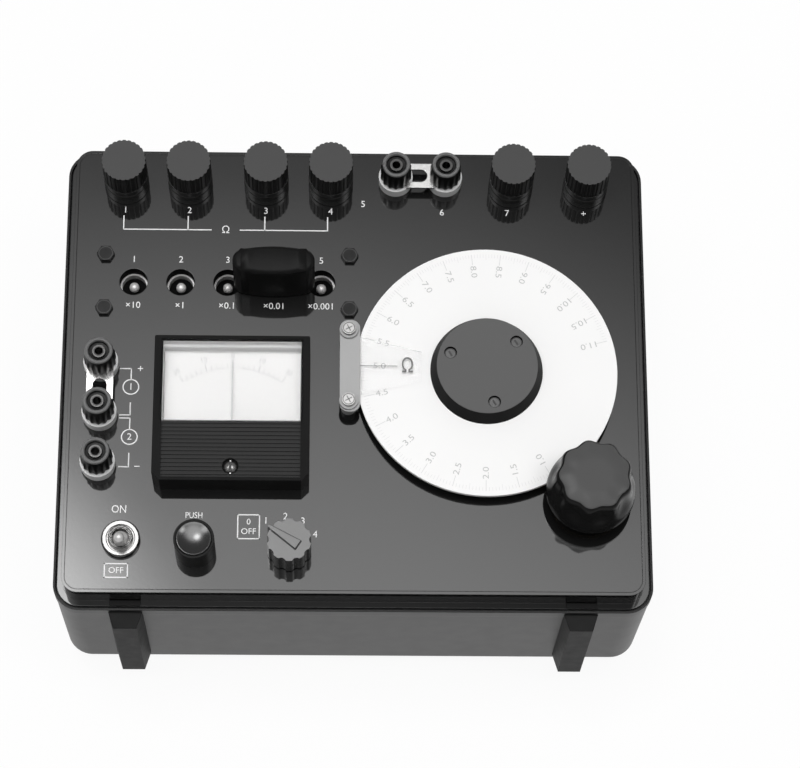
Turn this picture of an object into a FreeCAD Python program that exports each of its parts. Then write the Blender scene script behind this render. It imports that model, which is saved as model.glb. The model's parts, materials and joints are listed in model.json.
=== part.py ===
import FreeCAD, Part
import os
from types import SimpleNamespace
import Sketcher

# A portable double bridge for low resistances: moulded case, raised panel, slide-wire dial.
# Millimetres, +Z up, origin under the middle of the part. Places on the panel are from its centre.

SIZES = {
    # Case
    "case_width": 290, "case_depth": 240, "tub_height": 94, "foot_height": 4, "case_wall": 3.5,
    "floor_wall": 4, "draft": 0.4, "lip_width": 1.2, "lip_height": 7, "lip_overhang": 0.3,
    "lip_corner": 13, "bottom_round": 9, "inner_round": 3, "groove_width": 0.8,
    # Case that the places on the panel are drawn for
    "layout_width": 290, "layout_depth": 240,
    # Panel frame and panel
    "deck_rise": 14, "ledge_width": 3, "flange_wall": 3, "frame_rim": 1.5, "shelf_width": 5.5,
    "deck_corner": 8, "plate_wall": 3, "plate_gap": 0.1, "pillar_radius": 6.5, "pillar_bite": 1,
    "pillar_y": 80, "case_screw_radius": 2, "screw_head_radius": 3.5, "screw_head_height": 2,
    "screw_bite": 10, "slide_gap": 0.2,
    # Feet and catches
    "front_foot_x": 110, "front_foot_back": 16.6, "front_foot_front": 11.2, "front_foot_proud": 8.55,
    "front_foot_height": 78, "front_foot_drop": 3, "catch_length": 15, "catch_width": 2.6,
    "catch_height": 0.8, "foot_x": 108, "foot_y": 88, "foot_radius": 9, "foot_taper": 1.5,
    # Battery
    "cell_radius": 16.5, "cell_length": 60, "cell_gap": 0.5, "battery_wall": 2, "battery_y": 15,
    "cover_rim": 4, "cover_wall": 2,
    # Large terminals
    "stud_radius": 3, "nut_radius": 4.5, "nut_height": 4, "stud_tail": 9, "collar_radius": 11.1,
    "collar_height": 9, "collar_groove": 0.6, "cap_radius": 10.9, "cap_height": 15.8, "cap_seat_gap": 0.2,
    "thread_gap": 0.05, "cap_top_wall": 3, "cap_flute_radius": 0.75, "cap_flutes": 26,
    "terminal_y": 99, "terminal_1_x": -114.9, "terminal_2_x": -83, "terminal_3_x": -44.9,
    "terminal_4_x": -12.6, "terminal_5_x": 77.8, "terminal_6_x": 115.3,
    # Small terminals
    "jack_radius": 3.25, "jack_bore": 2, "jack_depth": 14, "jack_collar_radius": 8.5,
    "jack_collar_height": 6, "jack_cap_low": 7.8, "jack_cap_top": 5.8, "jack_cap_height": 14,
    "jack_recess_radius": 4.6, "jack_recess": 2.5, "jack_flutes": 14, "jack_flute_radius": 0.6,
    "jack_pair_x": 19.8, "jack_pitch": 24.7, "jack_row_y": 100, "jack_column_x": -124.2,
    "jack_column_y": 0.2, "jack_column_pitch": 25.5, "link_width": 13, "link_wall": 1.2,
    "link_hole_gap": 0.15,
    # Multiplier sockets and plug
    "socket_x": -109.8, "socket_y": 44.4, "socket_pitch": 23.2, "socket_ring_radius": 7,
    "socket_ring_wall": 1, "socket_depth": 11, "socket_pin_radius": 2.5, "socket_pin_drop": 7,
    "ring_drop": 6.5, "block_wall": 12, "block_margin": 4.5, "bolt_left_x": -123.9,
    "bolt_right_x": -3, "bolt_back_y": 58.8, "bolt_front_y": 30.3, "bolt_head_flats": 7.6,
    "bolt_head_height": 2.2, "bolt_radius": 2.5, "plug_length": 40, "plug_width": 15,
    "plug_end": 9.5, "plug_height": 30, "plug_lift": 1, "plug_place": 3, "sleeve_gap": 0.2,
    "sleeve_bore": 2.7, "sleeve_floor_gap": 0.5, "coil_radius": 9, "coil_core": 6, "coil_height": 20,
    "coil_flange": 2,
    # Meter
    "meter_x": -59.8, "meter_y": -26.3, "meter_width": 75.5, "meter_depth": 74, "meter_height": 15,
    "meter_corner": 3.8, "meter_wall": 4.25, "meter_top": 4.5, "window_depth": 40.5, "window_back": 2.6,
    "window_rebate": 0.8, "glass_wall": 1.5, "glass_gap": 0.05, "scale_wall": 1.2, "scale_gap": 0.3,
    "scale_rise": 3.5, "apron_step": 0.8, "apron_edge": 1.6, "rib_pitch": 2, "rib_width": 1, "rib_depth": 0.6,
    "zero_inset": 7.5, "zero_radius": 3.5, "zero_recess": 4, "zero_height": 2, "zero_stem": 1.5,
    "pivot_inset": 18, "staff_radius": 1, "pointer_length": 46, "pointer_width": 0.8,
    "pointer_wall": 0.6, "pointer_hub": 4, "magnet_radius": 22, "magnet_height": 24,
    "magnet_bore_depth": 10, "pivot_clear": 5,
    # Dial and drive
    "dial_x": 64.1, "dial_y": -4, "dial_radius": 64, "dial_wall": 2, "dial_lift": 6, "hub_low": 27.5,
    "hub_top": 24.5, "hub_height": 8, "hub_screw_ring": 19, "hub_screw_head": 2.8,
    "hub_screw_recess": 3.1, "hub_screw_stem": 1.5, "hub_screw_sink": 3, "shaft_radius": 4,
    "shaft_gap": 0.03, "bush_radius": 7, "bush_flange": 10, "bush_flange_wall": 3, "bush_tail": 6,
    "bush_top_gap": 0.4, "drive_x": 113.4, "drive_y": -66, "roller_gap": 0.1, "roller_bite": 3,
    "roller_cheek": 1.5, "roller_side_gap": 0.3, "drive_shaft_radius": 3, "drive_bush_radius": 6,
    "drive_shaft_tail": 12, "knob_skirt_radius": 21.5, "knob_skirt_height": 8, "knob_grip_low": 19.2,
    "knob_grip_top": 18, "knob_height": 25, "knob_lift": 10.6, "knob_flutes": 9,
    "knob_flute_radius": 6.5, "knob_flute_depth": 1.7, "knob_round": 1, "knob_bore_depth": 16,
    "former_radius": 52, "former_wall": 4, "former_depth": 24, "former_web": 4, "wire_ring": 42,
    "wire_radius": 0.6, "wire_gap": 0.2, "wiper_width": 8, "wiper_wall": 1.5, "wiper_boss": 8,
    "wiper_boss_height": 6, "shaft_tail_gap": 1,
    # Cursor
    "cursor_x": -3.2, "cursor_back_y": 15.9, "cursor_front_y": -21, "cursor_plate_left": 4.4,
    "cursor_plate_right": 5.5, "cursor_plate_end": 5.3, "cursor_lift": 8.6, "cursor_wall": 1.6,
    "cursor_post_radius": 3.6, "cursor_boss_radius": 4.6, "cursor_boss_height": 1.6,
    "cursor_head_radius": 3.35, "cursor_head_height": 1.8, "cursor_stem": 1.5, "cursor_line_y": -2.5,
    "tongue_reach": 30, "tongue_root": 30, "tongue_tip": 15, "tongue_wall": 1.2,
    # Toggle, button and selector
    "toggle_x": -112, "toggle_y": -89, "toggle_nut_radius": 9.35, "toggle_nut_height": 3.5,
    "toggle_bush_radius": 6, "toggle_bush_rise": 5, "toggle_bore": 4.5, "toggle_ball": 4.2,
    "toggle_body_width": 13, "toggle_body_depth": 26, "toggle_body_height": 22, "lever_low": 1.9,
    "lever_top": 1.5, "lever_length": 13, "lever_tip": 2.6, "lever_tilt": 13, "toggle_pivot": 1,
    "button_x": -76.4, "button_y": -92.9, "button_collar": 9.75, "button_collar_rise": 16.2,
    "button_radius": 8.5, "button_gap": 0.1, "button_rise": 17, "button_dish": 2.2,
    "button_travel": 4, "button_stem": 3, "button_tail": 12, "button_nut_radius": 11,
    "button_neck": 9.3, "button_edge": 0.7,
    "selector_x": -31.1, "selector_y": -93.6, "selector_radius": 10.6, "selector_height": 17,
    "selector_lift": 1, "selector_flutes": 10, "selector_flute_radius": 2.4, "selector_flute_depth": 1,
    "pointer_tip_reach": 12, "pointer_tail_reach": 5, "pointer_tip_width": 1.2, "pointer_tail_width": 4.6,
    "pointer_rise": 1.2, "selector_angle": 146.5, "selector_shaft": 3, "selector_body_radius": 13,
    "selector_body_height": 18, "selector_neck": 5,
}

LARGE_TERMINALS = 6
HUB_SCREW_ANGLES = [41, 160, 280]
SOCKETS = 5
DISH_STEPS = 6
WIRE_SWEEP = 320

# Places that spread with the case's width and depth, and the front controls, which keep to its front edge
SPREAD_ACROSS = ["front_foot_x", "foot_x", "jack_pair_x", "jack_pitch", "jack_column_x", "socket_x",
                 "socket_pitch", "bolt_left_x", "bolt_right_x", "meter_x", "dial_x", "drive_x", "toggle_x",
                 "button_x", "selector_x"]
SPREAD_ACROSS += [f"terminal_{number}_x" for number in range(1, LARGE_TERMINALS + 1)]
SPREAD_ALONG = ["pillar_y", "foot_y", "battery_y", "terminal_y", "jack_row_y", "jack_column_y",
                "jack_column_pitch", "socket_y", "bolt_back_y", "bolt_front_y", "meter_y", "dial_y", "drive_y"]
FRONT_CONTROLS = ["toggle_y", "button_y", "selector_y"]

doc = FreeCAD.newDocument("double_bridge")
sheet = doc.addObject("Spreadsheet::Sheet", "Sizes")


class Size:
    # A number that remembers the sheet expression it comes from.
    def __init__(self, text, value):
        self.text = text
        self.value = value

    def join(self, sign, other, flip=False):
        first, second = (sized(other), self) if flip else (self, sized(other))
        value = {"+": lambda: first.value + second.value, "-": lambda: first.value - second.value,
                 "*": lambda: first.value * second.value, "/": lambda: first.value / second.value}[sign]()
        return Size(f"({first.text} {sign} {second.text})", value)

    def __add__(self, other):
        return self.join("+", other)

    def __radd__(self, other):
        return self.join("+", other, True)

    def __sub__(self, other):
        return self.join("-", other)

    def __rsub__(self, other):
        return self.join("-", other, True)

    def __mul__(self, other):
        return self.join("*", other)

    def __rmul__(self, other):
        return self.join("*", other, True)

    def __truediv__(self, other):
        return self.join("/", other)

    def __neg__(self):
        return 0 - self


def sized(number):
    return number if isinstance(number, Size) else Size(repr(float(number)), float(number))


def root(number):
    return Size(f"sqrt({number.text})", number.value ** 0.5)


for row, (alias, number) in enumerate(SIZES.items(), start=1):
    sheet.set(f"A{row}", alias)
    sheet.set(f"B{row}", str(number))
    sheet.setAlias(f"B{row}", alias)
doc.recompute()
s = SimpleNamespace(**{alias: Size("Sizes." + alias, float(number)) for alias, number in SIZES.items()})

# Places on the panel follow the case; the cursor keeps its distance from the dial
dialDrawnX, dialDrawnY = s.dial_x, s.dial_y
for alias in SPREAD_ACROSS:
    setattr(s, alias, getattr(s, alias) * (s.case_width / s.layout_width))
for alias in SPREAD_ALONG:
    setattr(s, alias, getattr(s, alias) * (s.case_depth / s.layout_depth))
for alias in FRONT_CONTROLS:
    setattr(s, alias, getattr(s, alias) - (s.case_depth - s.layout_depth) / 2)
s.cursor_x = s.cursor_x + (s.dial_x - dialDrawnX)
for alias in ("cursor_back_y", "cursor_front_y", "cursor_line_y"):
    setattr(s, alias, getattr(s, alias) + (s.dial_y - dialDrawnY))

# Levels and widths that several pieces share
caseY = (s.front_foot_proud - s.lip_overhang) / 2
lipZ = s.foot_height + s.tub_height
deckZ = lipZ + s.deck_rise
underZ = deckZ - s.plate_wall
flangeZ = lipZ - s.flange_wall
floorZ = s.foot_height + s.floor_wall
flangeInset = s.lip_width + s.groove_width
deckInset = flangeInset + s.ledge_width
seatInset = deckInset + s.frame_rim
openingInset = seatInset + s.shelf_width
ZERO = sized(0)


def bind(obj, **values):
    for prop, value in values.items():
        if isinstance(value, Size):
            setattr(obj, prop, value.value)
            obj.setExpression(prop, value.text)
        else:
            setattr(obj, prop, value)
    return obj


def place(obj, x=0, y=0, z=0, turn=0):
    spots = [sized(x), sized(y) + caseY, sized(z)]
    angle = sized(turn)
    obj.Placement = FreeCAD.Placement(FreeCAD.Vector(*[spot.value for spot in spots]),
                                      FreeCAD.Rotation(FreeCAD.Vector(0, 0, 1), angle.value))
    for axis, spot in zip("xyz", spots):
        obj.setExpression("Placement.Base." + axis, spot.text)
    if isinstance(turn, Size):
        obj.setExpression("Placement.Rotation.Angle", turn.text)
    return obj


def block(name, width, depth, height, x=0, y=0, z=0):
    box = bind(doc.addObject("Part::Box", name), Length=width, Width=depth, Height=height)
    return place(box, sized(x) - sized(width) / 2, sized(y) - sized(depth) / 2, z)


def rod(name, radius, height, x=0, y=0, z=0):
    return place(bind(doc.addObject("Part::Cylinder", name), Radius=radius, Height=height), x, y, z)


def group(name, members):
    compound = doc.addObject("Part::Compound", name)
    compound.Links = members
    return compound


def joined(name, members):
    union = doc.addObject("Part::MultiFuse", name)
    union.Shapes = members
    return union


def cut(name, base, tools):
    result = doc.addObject("Part::Cut", name)
    result.Base = base
    result.Tool = tools[0] if len(tools) == 1 else group(name + "_tools", tools)
    return result


def plane(body, role):
    return next(part for part in body.Origin.OriginFeatures if part.Role == role)


def new_sketch(body, name, role):
    sketch = body.newObject("Sketcher::SketchObject", name)
    sketch.AttachmentSupport = [(plane(body, role), "")]
    sketch.MapMode = "FlatFace"
    return sketch


def fix_point(sketch, edge, end, x, y):
    # Holds a corner at its distances from the sketch's origin, neither of them negative.
    for kind, amount in (("DistanceX", sized(x)), ("DistanceY", sized(y))):
        index = sketch.addConstraint(Sketcher.Constraint(kind, -1, 1, edge, end, amount.value))
        sketch.setExpression(f"Constraints[{index}]", amount.text)


def outline(sketch, corners):
    points = [FreeCAD.Vector(sized(x).value, sized(y).value, 0) for x, y in corners]
    count = len(points)
    for index in range(count):
        sketch.addGeometry(Part.LineSegment(points[index], points[(index + 1) % count]))
    for index in range(count):
        sketch.addConstraint(Sketcher.Constraint("Coincident", index, 2, (index + 1) % count, 1))
    for index, (x, y) in enumerate(corners):
        fix_point(sketch, index, 1, x, y)


def turned(name, profile, x=0, y=0, z=0, turn=0):
    # A turned piece: its half profile as radius and height, spun about its own axis.
    body = doc.addObject("PartDesign::Body", name)
    sketch = new_sketch(body, name + "_profile", "XZ_Plane")
    outline(sketch, profile)
    spin = body.newObject("PartDesign::Revolution", name + "_spin")
    spin.Profile = sketch
    spin.ReferenceAxis = (sketch, ["V_Axis"])
    spin.Angle = 360
    place(body, x, y, z, turn)
    return body


def prism(name, corners, height, x=0, y=0, z=0, turn=0):
    # A straight-sided piece from an outline whose corners have no negative distance.
    body = doc.addObject("PartDesign::Body", name)
    sketch = new_sketch(body, name + "_outline", "XY_Plane")
    outline(sketch, corners)
    pad = body.newObject("PartDesign::Pad", name + "_pad")
    pad.Profile = sketch
    bind(pad, Length=height)
    place(body, x, y, z, turn)
    return body


def fillet(body, base, name, radius, chosen):
    doc.recompute()
    names = [f"Edge{number}" for number, edge in enumerate(base.Shape.Edges, start=1) if chosen(edge)]
    rounding = body.newObject("PartDesign::Fillet", name)
    rounding.Base = (base, names)
    bind(rounding, Radius=radius)
    return rounding


def climbs(edge):
    return edge.BoundBox.ZLength > max(edge.BoundBox.XLength, edge.BoundBox.YLength)


def rounded_block(name, width, depth, height, corner, x=0, y=0, z=0):
    body = doc.addObject("PartDesign::Body", name)
    sketch = new_sketch(body, name + "_outline", "XY_Plane")
    rectangle(sketch, width, depth)
    pad = body.newObject("PartDesign::Pad", name + "_pad")
    pad.Profile = sketch
    bind(pad, Length=height)
    fillet(body, pad, name + "_corners", corner, climbs)
    return place(body, x, y, z)


def rectangle(sketch, width, depth):
    half = FreeCAD.Vector(sized(width).value / 2, sized(depth).value / 2, 0)
    ends = [(-half.x, -half.y), (half.x, -half.y), (half.x, half.y), (-half.x, half.y)]
    for index in range(4):
        start, stop = ends[index], ends[(index + 1) % 4]
        sketch.addGeometry(Part.LineSegment(FreeCAD.Vector(*start, 0), FreeCAD.Vector(*stop, 0)))
    for index in range(4):
        sketch.addConstraint(Sketcher.Constraint("Coincident", index, 2, (index + 1) % 4, 1))
        sketch.addConstraint(Sketcher.Constraint("Horizontal" if index % 2 == 0 else "Vertical", index))
    sketch.addConstraint(Sketcher.Constraint("Symmetric", 0, 1, 2, 1, -1, 1))
    for kind, edge, amount in (("DistanceX", 0, sized(width)), ("DistanceY", 1, sized(depth))):
        index = sketch.addConstraint(Sketcher.Constraint(kind, edge, 1, edge, 2, amount.value))
        sketch.setExpression(f"Constraints[{index}]", amount.text)


def drafted_block(name, width, depth, drop, corner, foot_round, z):
    # Hangs down from its widest edge and narrows by the mould's draft.
    body = doc.addObject("PartDesign::Body", name)
    sketch = new_sketch(body, name + "_outline", "XY_Plane")
    rectangle(sketch, width, depth)
    pad = body.newObject("PartDesign::Pad", name + "_pad")
    pad.Profile = sketch
    pad.Reversed = True
    bind(pad, Length=drop, TaperAngle=-s.draft)
    corners = fillet(body, pad, name + "_corners", corner, climbs)
    low = -sized(drop).value
    fillet(body, corners, name + "_foot", foot_round, lambda edge: edge.BoundBox.ZMax < low + 0.01)
    return place(body, 0, 0, z)


def flute(body, name, offset, radius, count, height):
    # Round grooves down the side, cut once and repeated about the axis.
    doc.recompute()
    sketch = new_sketch(body, name + "_flute", "XY_Plane")
    sketch.addGeometry(Part.Circle(FreeCAD.Vector(offset.value, 0, 0), FreeCAD.Vector(0, 0, 1), radius.value))
    sketch.addConstraint(Sketcher.Constraint("PointOnObject", 0, 3, -1))
    place_at = sketch.addConstraint(Sketcher.Constraint("DistanceX", -1, 1, 0, 3, offset.value))
    sketch.setExpression(f"Constraints[{place_at}]", offset.text)
    size_at = sketch.addConstraint(Sketcher.Constraint("Radius", 0, radius.value))
    sketch.setExpression(f"Constraints[{size_at}]", radius.text)
    pocket = body.newObject("PartDesign::Pocket", name + "_groove")
    pocket.Profile = sketch
    pocket.Reversed = True
    bind(pocket, Length=height)
    doc.recompute()
    pattern = body.newObject("PartDesign::PolarPattern", name + "_flutes")
    pattern.Originals = [pocket]
    pattern.Axis = (sketch, ["N_Axis"])
    pattern.Angle = 360
    pattern.Occurrences = int(count.value)
    pattern.setExpression("Occurrences", count.text)
    body.Tip = pattern
    return body


nodes = []


def keep(name, obj):
    obj.Label = name
    nodes.append(obj)
    return obj


# Case
wallWidth = s.case_width - 2 * s.lip_overhang
wallDepth = s.case_depth - 2 * s.lip_overhang
tubDrop = flangeZ - s.foot_height
tubCorner = s.lip_corner - s.lip_overhang
tub_form = drafted_block("tub_form", wallWidth, wallDepth, tubDrop, tubCorner, s.bottom_round, flangeZ)
tub_space = drafted_block("tub_space", wallWidth - 2 * s.case_wall, wallDepth - 2 * s.case_wall,
                          tubDrop - s.floor_wall, tubCorner - s.case_wall, s.inner_round, flangeZ)
lip_band = rounded_block("lip_band", s.case_width, s.case_depth, s.lip_height, s.lip_corner,
                         z=lipZ - s.lip_height)
lip_space = rounded_block("lip_space", s.case_width - 2 * s.lip_width, s.case_depth - 2 * s.lip_width,
                          2 * s.flange_wall, s.lip_corner - s.lip_width, z=flangeZ)

batteryWidth = 2 * (s.cell_length + s.cell_gap) + s.cell_gap
batteryDepth = 2 * (2 * s.cell_radius + s.cell_gap) + s.cell_gap
coverWidth = batteryWidth + 2 * s.cover_rim
coverDepth = batteryDepth + 2 * s.cover_rim
hatch = block("hatch", batteryWidth, batteryDepth, 2 * s.floor_wall, 0, s.battery_y, s.foot_height)
hatch_rebate = block("hatch_rebate", coverWidth, coverDepth, 2 * s.cover_wall, 0, s.battery_y,
                     s.foot_height - s.cover_wall)
pillarX = s.case_width / 2 - openingInset - s.pillar_radius + s.pillar_bite
corners = [(side_x, side_y) for side_x in (-1, 1) for side_y in (-1, 1)]
screw_holes = []
for number, (side_x, side_y) in enumerate(corners, start=1):
    spot_x, spot_y = side_x * pillarX, side_y * s.pillar_y
    screw_holes.append(rod(f"screw_hole_{number}", s.case_screw_radius, 2 * s.floor_wall, spot_x, spot_y,
                           s.foot_height))
    screw_holes.append(rod(f"screw_head_hole_{number}", s.screw_head_radius + s.slide_gap,
                           2 * s.screw_head_height, spot_x, spot_y, s.foot_height - s.screw_head_height))
tub_spaces = joined("tub_spaces", [tub_space, lip_space, hatch, hatch_rebate] + screw_holes)
keep("case_tub", cut("case_tub", joined("tub_solid", [tub_form, lip_band]), [tub_spaces]))

# Panel frame: flange in the lip, raised deck, shelf for the panel, pillars to the floor
frame_flange = rounded_block("frame_flange", s.case_width - 2 * flangeInset, s.case_depth - 2 * flangeInset,
                             s.flange_wall, s.lip_corner - flangeInset, z=flangeZ)
frame_deck = rounded_block("frame_deck", s.case_width - 2 * deckInset, s.case_depth - 2 * deckInset,
                           s.flange_wall + s.deck_rise, s.deck_corner, z=flangeZ)
frame_opening = rounded_block("frame_opening", s.case_width - 2 * openingInset,
                              s.case_depth - 2 * openingInset, 2 * s.deck_rise + s.flange_wall,
                              s.deck_corner - s.frame_rim, z=flangeZ - s.deck_rise / 2)
plate_seat = rounded_block("plate_seat", s.case_width - 2 * seatInset, s.case_depth - 2 * seatInset,
                           2 * s.plate_wall, s.deck_corner - s.frame_rim, z=underZ)
pillars = []
pillar_holes = []
for number, (side_x, side_y) in enumerate(corners, start=1):
    spot_x, spot_y = side_x * pillarX, side_y * s.pillar_y
    pillars.append(rod(f"pillar_{number}", s.pillar_radius, underZ - floorZ, spot_x, spot_y, floorZ))
    pillar_holes.append(rod(f"pillar_hole_{number}", s.case_screw_radius, s.screw_bite, spot_x, spot_y, floorZ))
frame_ring = cut("frame_ring", joined("frame_solid", [frame_flange, frame_deck]),
                 [joined("frame_spaces", [frame_opening, plate_seat])])
keep("panel_frame", cut("panel_frame", joined("frame_with_pillars", [frame_ring] + pillars), pillar_holes))

# Panel plate: every stud, bush and socket passes through it
holes = []


def panel_hole(name, radius, x, y):
    holes.append(rod("hole_" + name, radius, 3 * s.plate_wall, x, y, underZ - s.plate_wall))


# Feet, catches and case screws
front_feet = []
catches = []
for number, side in enumerate((-1, 1), start=1):
    inset = (s.front_foot_back - s.front_foot_front) / 2
    reach = s.front_foot_proud + s.case_wall
    footTop = lipZ - s.front_foot_drop
    taper = inset * reach / s.front_foot_proud
    bar = prism(f"front_bar_{number}",
                [(taper, ZERO), (taper + s.front_foot_front, ZERO), (2 * taper + s.front_foot_front, reach),
                 (ZERO, reach)],
                s.front_foot_height, side * s.front_foot_x - taper - s.front_foot_front / 2,
                -wallDepth / 2 - s.front_foot_proud, footTop - s.front_foot_height)
    front_feet.append(bar)
    catches.append(block(f"catch_{number}", s.catch_length, s.catch_width, s.catch_height,
                         side * s.front_foot_x,
                         -(s.case_depth / 2 - deckInset) - s.ledge_width / 2, lipZ))
keep("front_feet", cut("front_feet", group("front_bars", front_feet), [tub_form, lip_band]))
keep("lid_catches", group("lid_catches", catches))

feet = []
case_screws = []
for number, (side_x, side_y) in enumerate(corners, start=1):
    feet.append(turned(f"foot_{number}",
                       [(ZERO, ZERO), (s.foot_radius - s.foot_taper, ZERO), (s.foot_radius, s.foot_height),
                        (ZERO, s.foot_height)],
                       side_x * s.foot_x, side_y * s.foot_y, 0))
    case_screws.append(turned(f"case_screw_{number}",
                              [(ZERO, ZERO), (s.screw_head_radius, ZERO),
                               (s.screw_head_radius, s.screw_head_height),
                               (s.case_screw_radius, s.screw_head_height),
                               (s.case_screw_radius, s.floor_wall + s.screw_bite),
                               (ZERO, s.floor_wall + s.screw_bite)],
                              side_x * pillarX, side_y * s.pillar_y, s.foot_height))
keep("bottom_feet", group("bottom_feet", feet))
keep("case_screws", group("case_screws", case_screws))

# Battery: a box on the floor, four cells and a cover let into the underside
box_outer = block("box_outer", batteryWidth + 2 * s.battery_wall, batteryDepth + 2 * s.battery_wall,
                  2 * s.cell_radius + s.cell_gap + s.battery_wall, 0, s.battery_y, floorZ)
box_inner = block("box_inner", batteryWidth, batteryDepth, 2 * s.cell_radius + s.cell_gap,
                  0, s.battery_y, floorZ)
keep("battery_box", cut("battery_box", box_outer, [box_inner]))
keep("battery_cover", block("battery_cover", coverWidth - 2 * s.slide_gap, coverDepth - 2 * s.slide_gap,
                            s.cover_wall, 0, s.battery_y, s.foot_height))
cells = []
for number, (side_x, side_y) in enumerate(corners, start=1):
    cell = bind(doc.addObject("Part::Cylinder", f"cell_{number}"), Radius=s.cell_radius, Height=s.cell_length)
    shift = s.cell_gap / 2 + (0 if side_x > 0 else -1) * (s.cell_length + s.cell_gap)
    place(cell, shift, s.battery_y + side_y * (s.cell_radius + s.cell_gap / 2),
          s.foot_height + s.cover_wall + s.cell_radius + s.slide_gap)
    cell.Placement = FreeCAD.Placement(cell.Placement.Base, FreeCAD.Rotation(FreeCAD.Vector(0, 1, 0), 90))
    cells.append(cell)
keep("dry_cells", group("dry_cells", cells))

# Large terminals
collars = []
studs = []
capBase = s.collar_height + s.cap_seat_gap
studTop = capBase + s.cap_height - s.cap_top_wall
for number in range(1, LARGE_TERMINALS + 1):
    spot = getattr(s, f"terminal_{number}_x")
    panel_hole(f"terminal_{number}", s.stud_radius, spot, s.terminal_y)
    collars.append(turned(f"collar_{number}",
                          [(s.stud_radius, ZERO), (s.collar_radius, ZERO),
                           (s.collar_radius, s.collar_height / 2 - s.collar_groove),
                           (s.collar_radius - s.collar_groove, s.collar_height / 2),
                           (s.collar_radius, s.collar_height / 2 + s.collar_groove),
                           (s.collar_radius, s.collar_height), (s.stud_radius, s.collar_height)],
                          spot, s.terminal_y, deckZ))
    tail = s.plate_wall + s.stud_tail
    studs.append(turned(f"stud_{number}",
                        [(ZERO, ZERO), (s.stud_radius, ZERO), (s.stud_radius, s.stud_tail - s.nut_height),
                         (s.nut_radius, s.stud_tail - s.nut_height), (s.nut_radius, s.stud_tail),
                         (s.stud_radius, s.stud_tail), (s.stud_radius, tail + studTop - s.cap_seat_gap),
                         (ZERO, tail + studTop - s.cap_seat_gap)],
                        spot, s.terminal_y, deckZ - tail))
    cap = turned(f"terminal_cap_{number}",
                 [(s.stud_radius + s.thread_gap, ZERO), (s.cap_radius, ZERO), (s.cap_radius, s.cap_height),
                  (ZERO, s.cap_height), (ZERO, s.cap_height - s.cap_top_wall),
                  (s.stud_radius + s.thread_gap, s.cap_height - s.cap_top_wall)],
                 spot, s.terminal_y, deckZ + capBase)
    keep(f"terminal_cap_{number}",
         flute(cap, f"terminal_cap_{number}", s.cap_radius + s.cap_flute_radius / 2, s.cap_flute_radius,
               s.cap_flutes, 2 * s.cap_height))
keep("terminal_collars", group("terminal_collars", collars))
keep("terminal_studs", group("terminal_studs", studs))

# Small terminals with their test jacks and links
jacks = [(s.jack_pair_x, s.jack_row_y), (s.jack_pair_x + s.jack_pitch, s.jack_row_y)]
jacks += [(s.jack_column_x, s.jack_column_y - step * s.jack_column_pitch) for step in range(3)]
jackCapBase = s.jack_collar_height + s.link_wall + s.cap_seat_gap
jackTop = jackCapBase + s.jack_cap_height - s.jack_recess / 2
jack_collars = []
jack_studs = []
for number, (spot_x, spot_y) in enumerate(jacks, start=1):
    panel_hole(f"jack_{number}", s.jack_radius, spot_x, spot_y)
    jack_collars.append(turned(f"jack_collar_{number}",
                               [(s.jack_radius, ZERO), (s.jack_collar_radius, ZERO),
                                (s.jack_collar_radius, s.jack_collar_height),
                                (s.jack_radius, s.jack_collar_height)], spot_x, spot_y, deckZ))
    tail = s.plate_wall + s.stud_tail
    jack_studs.append(turned(f"jack_stud_{number}",
                             [(ZERO, ZERO), (s.jack_radius, ZERO),
                              (s.jack_radius, s.stud_tail - s.nut_height),
                              (s.nut_radius, s.stud_tail - s.nut_height), (s.nut_radius, s.stud_tail),
                              (s.jack_radius, s.stud_tail), (s.jack_radius, tail + jackTop),
                              (s.jack_bore, tail + jackTop), (s.jack_bore, tail + jackTop - s.jack_depth),
                              (ZERO, tail + jackTop - s.jack_depth)],
                             spot_x, spot_y, deckZ - tail))
    cap = turned(f"small_cap_{number}",
                 [(s.jack_radius + s.thread_gap, ZERO), (s.jack_cap_low, ZERO),
                  (s.jack_cap_top, s.jack_cap_height), (s.jack_recess_radius, s.jack_cap_height),
                  (s.jack_recess_radius, s.jack_cap_height - s.jack_recess),
                  (s.jack_radius + s.thread_gap, s.jack_cap_height - s.jack_recess)],
                 spot_x, spot_y, deckZ + jackCapBase)
    keep(f"small_cap_{number}",
         flute(cap, f"small_cap_{number}", s.jack_cap_low + s.jack_flute_radius / 3, s.jack_flute_radius,
               s.jack_flutes, 2 * s.jack_cap_height))
keep("small_collars", group("small_collars", jack_collars))
keep("small_studs", group("small_studs", jack_studs))


def link(name, start, pitch, along_x):
    # A flat link with a closed hole at one post and an open slot at the other.
    long_side = pitch + s.link_width
    hole = s.jack_radius + s.link_hole_gap
    step = pitch / 2
    middle = (start[0] + step, start[1]) if along_x else (start[0], start[1] - step)
    width, depth = (long_side, s.link_width) if along_x else (s.link_width, long_side)
    level = deckZ + s.jack_collar_height
    strip = rounded_block(name + "_strip", width, depth, s.link_wall, s.link_width / 2 - s.link_hole_gap,
                          middle[0], middle[1], level)
    first = start
    second = (start[0] + pitch, start[1]) if along_x else (start[0], start[1] - pitch)
    eye, fork = (second, first) if along_x else (first, second)
    cuts = [rod(name + "_eye", hole, 3 * s.link_wall, eye[0], eye[1], level - s.link_wall)]
    slot = [rod(name + "_slot_end", hole, 3 * s.link_wall, middle[0], middle[1], level - s.link_wall)]
    if along_x:
        slot.append(block(name + "_slot", long_side, 2 * hole, 3 * s.link_wall,
                          middle[0] - long_side / 2, middle[1], level - s.link_wall))
    else:
        slot.append(block(name + "_slot", 2 * hole, long_side, 3 * s.link_wall,
                          middle[0], middle[1] - long_side / 2, level - s.link_wall))
    return cut(name, strip, cuts + [joined(name + "_fork", slot)])


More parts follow.
